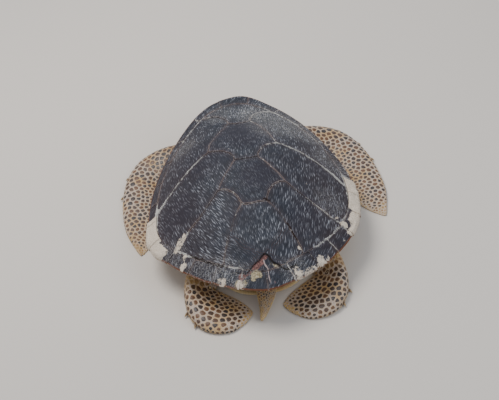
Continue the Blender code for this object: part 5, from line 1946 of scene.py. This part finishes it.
beak_material = beak_horn()
sheath("upper_beak", True, beak_material)
sheath("lower_beak", False, beak_material)


# ------------------------------------------------------------------ eyes
# Dark wet balls in slanting lids: a wide black pupil in a narrow ring of deep brown.


def eye_glaze():
    material, tree, shader, place = new_material("eye_glaze")
    turn = attribute(tree, "off_axis")
    speck = grain(place, 900, 3, 0.6)
    iris = blend_of(ramp(speck, 0.35, 0.65), (0.075, 0.036, 0.016), (0.020, 0.011, 0.007))
    colour = blend_of(ramp(turn, 0.40, 0.44), (0.003, 0.003, 0.003), iris)
    colour = blend_of(ramp(turn, 0.66, 0.74), colour, (0.022, 0.014, 0.011))
    for name, value in (("Base Color", colour), ("Roughness", 0.06), ("Coat Weight", 1.0), ("Coat Roughness", 0.03)):
        fill(shader.inputs[name], value)
    return material


EYE_SPOKES = 48
eye_material = eye_glaze()
for side, word in ((1, "right"), (-1, "left")):
    out = Vector((EYE_OUT.x * side, EYE_OUT.y, EYE_OUT.z))
    across = out.cross(Vector((0, 0, 1))).normalized()
    over = across.cross(out)
    middle = Vector((side * EYE_PLACE.x, EYE_PLACE.y, EYE_PLACE.z))
    bm = bmesh.new()
    off_axis = bm.verts.layers.float.new("off_axis")
    rounds = []
    for tilt in np.linspace(0, np.pi, 41)[1:-1]:
        ring = []
        for turn in evenly(EYE_SPOKES):
            aim = out * math.cos(tilt) + (across * math.cos(turn) + over * math.sin(turn)) * math.sin(tilt)
            v = bm.verts.new(middle + aim * (EYE_RADIUS - 0.0002 + 0.0004 * math.exp(-((tilt / 0.45) ** 2))))
            v[off_axis] = tilt
            ring.append(v)
        rounds.append(ring)
    steps = [(i, (i + 1) % EYE_SPOKES) for i in range(EYE_SPOKES)]
    for a, b in zip(rounds, rounds[1:]):
        for i, j in steps:
            bm.faces.new((a[i], a[j], b[j], b[i]))
    for ring, aim in ((rounds[0], out), (rounds[-1], -out)):
        pole = bm.verts.new(middle + aim * (EYE_RADIUS + (0.0002 if aim is out else -0.0002)))
        pole[off_axis] = 0 if aim is out else math.pi
        for i, j in steps:
            bm.faces.new((ring[i], ring[j], pole))
    bmesh.ops.recalc_face_normals(bm, faces=bm.faces)
    mesh = bpy.data.meshes.new(f"eyeball_{word}")
    bm.to_mesh(mesh)
    bm.free()
    mesh.shade_smooth()
    mesh.materials.append(eye_material)
    piece = placed(f"eyeball_{word}", mesh)
    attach(piece, "root")
    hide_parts(f"eye_{word}")


# ------------------------------------------------------------------ claws
# Two curved claws of brown horn on each flipper's leading edge, worn at the tip.

CLAW_HEIGHT, CLAW_RADIUS, CLAW_SUNK, CLAW_SPOKES = 0.0085, 0.0064, 0.004, 16


def claw_horn():
    material, tree, shader, place = new_material("claw_horn")
    cloud = grain(place, 120, 3, 0.6)
    share = attribute(tree, "share")
    worn = ramp(scaled(cloud, 0.5, share), 0.35, 1.1)
    colour = blend_of(worn, (0.11, 0.058, 0.030), (0.42, 0.29, 0.14))
    surfaced(shader, colour, 0.36, cloud, 0.3, 0.0004)
    return material


claw_material = claw_horn()
for limb, (form, side, _, _) in LIMBS.items():
    end, word = limb.split("_")
    leading, trailing = limb_edges(limb)
    for number, (spot, length) in enumerate(form["claws"], 1):
        foot, ahead = (Vector(point) for point in curve(leading, np.array([spot, spot + 1]) / 40))
        run = (ahead - foot).normalized()
        out = Vector((-run.y, run.x))
        if run.cross(Vector(trailing[4]) - foot) * out.cross(run) < 0:
            out = -out
        if out.dot(foot - Vector(trailing[4])) < 0:
            out = -out
        start, end_spot = foot - out * CLAW_SUNK, foot + out * length * 0.75 + run * length * 0.65
        root, tip = Vector((*start, CLAW_HEIGHT)), Vector((*end_spot, 0.55 * CLAW_HEIGHT))
        bend = (root + tip) / 2 + Vector((*out, 0)) * 0.18 * length + Vector((0, 0, 0.0035))
        rings, shares = [], []
        for t in np.linspace(0, 1, 15):
            middle = root * (1 - t) ** 2 + bend * 2 * t * (1 - t) + tip * t * t
            forward = ((bend - root) * (1 - t) + (tip - bend) * t).normalized()
            across = forward.cross(Vector((0, 0, 1))).normalized()
            over = across.cross(forward)
            wide = CLAW_RADIUS * (1 - t**1.5 * 0.90) * (1 + 0.04 * math.sin(40 * t))
            aims = [across * math.sin(angle) * 0.72 + over * math.cos(angle) for angle in evenly(CLAW_SPOKES)]
            ring = [middle + aim * wide for aim in aims]
            rings.append(np.array([tuple(point) for point in ring]))
            shares += [t] * CLAW_SPOKES
        piece = closed_form(f"claw_{limb}_{number}", rings)
        store(piece.data, {"share": shares + [0, 1]})  # the last two are the middles of its ends
        piece.data.shade_smooth()
        piece.data.set_sharp_from_angle(angle=math.radians(60))
        piece.data.materials.append(claw_material)
        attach(piece, "root")
        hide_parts(f"claw_{end}_{word}_{number}")
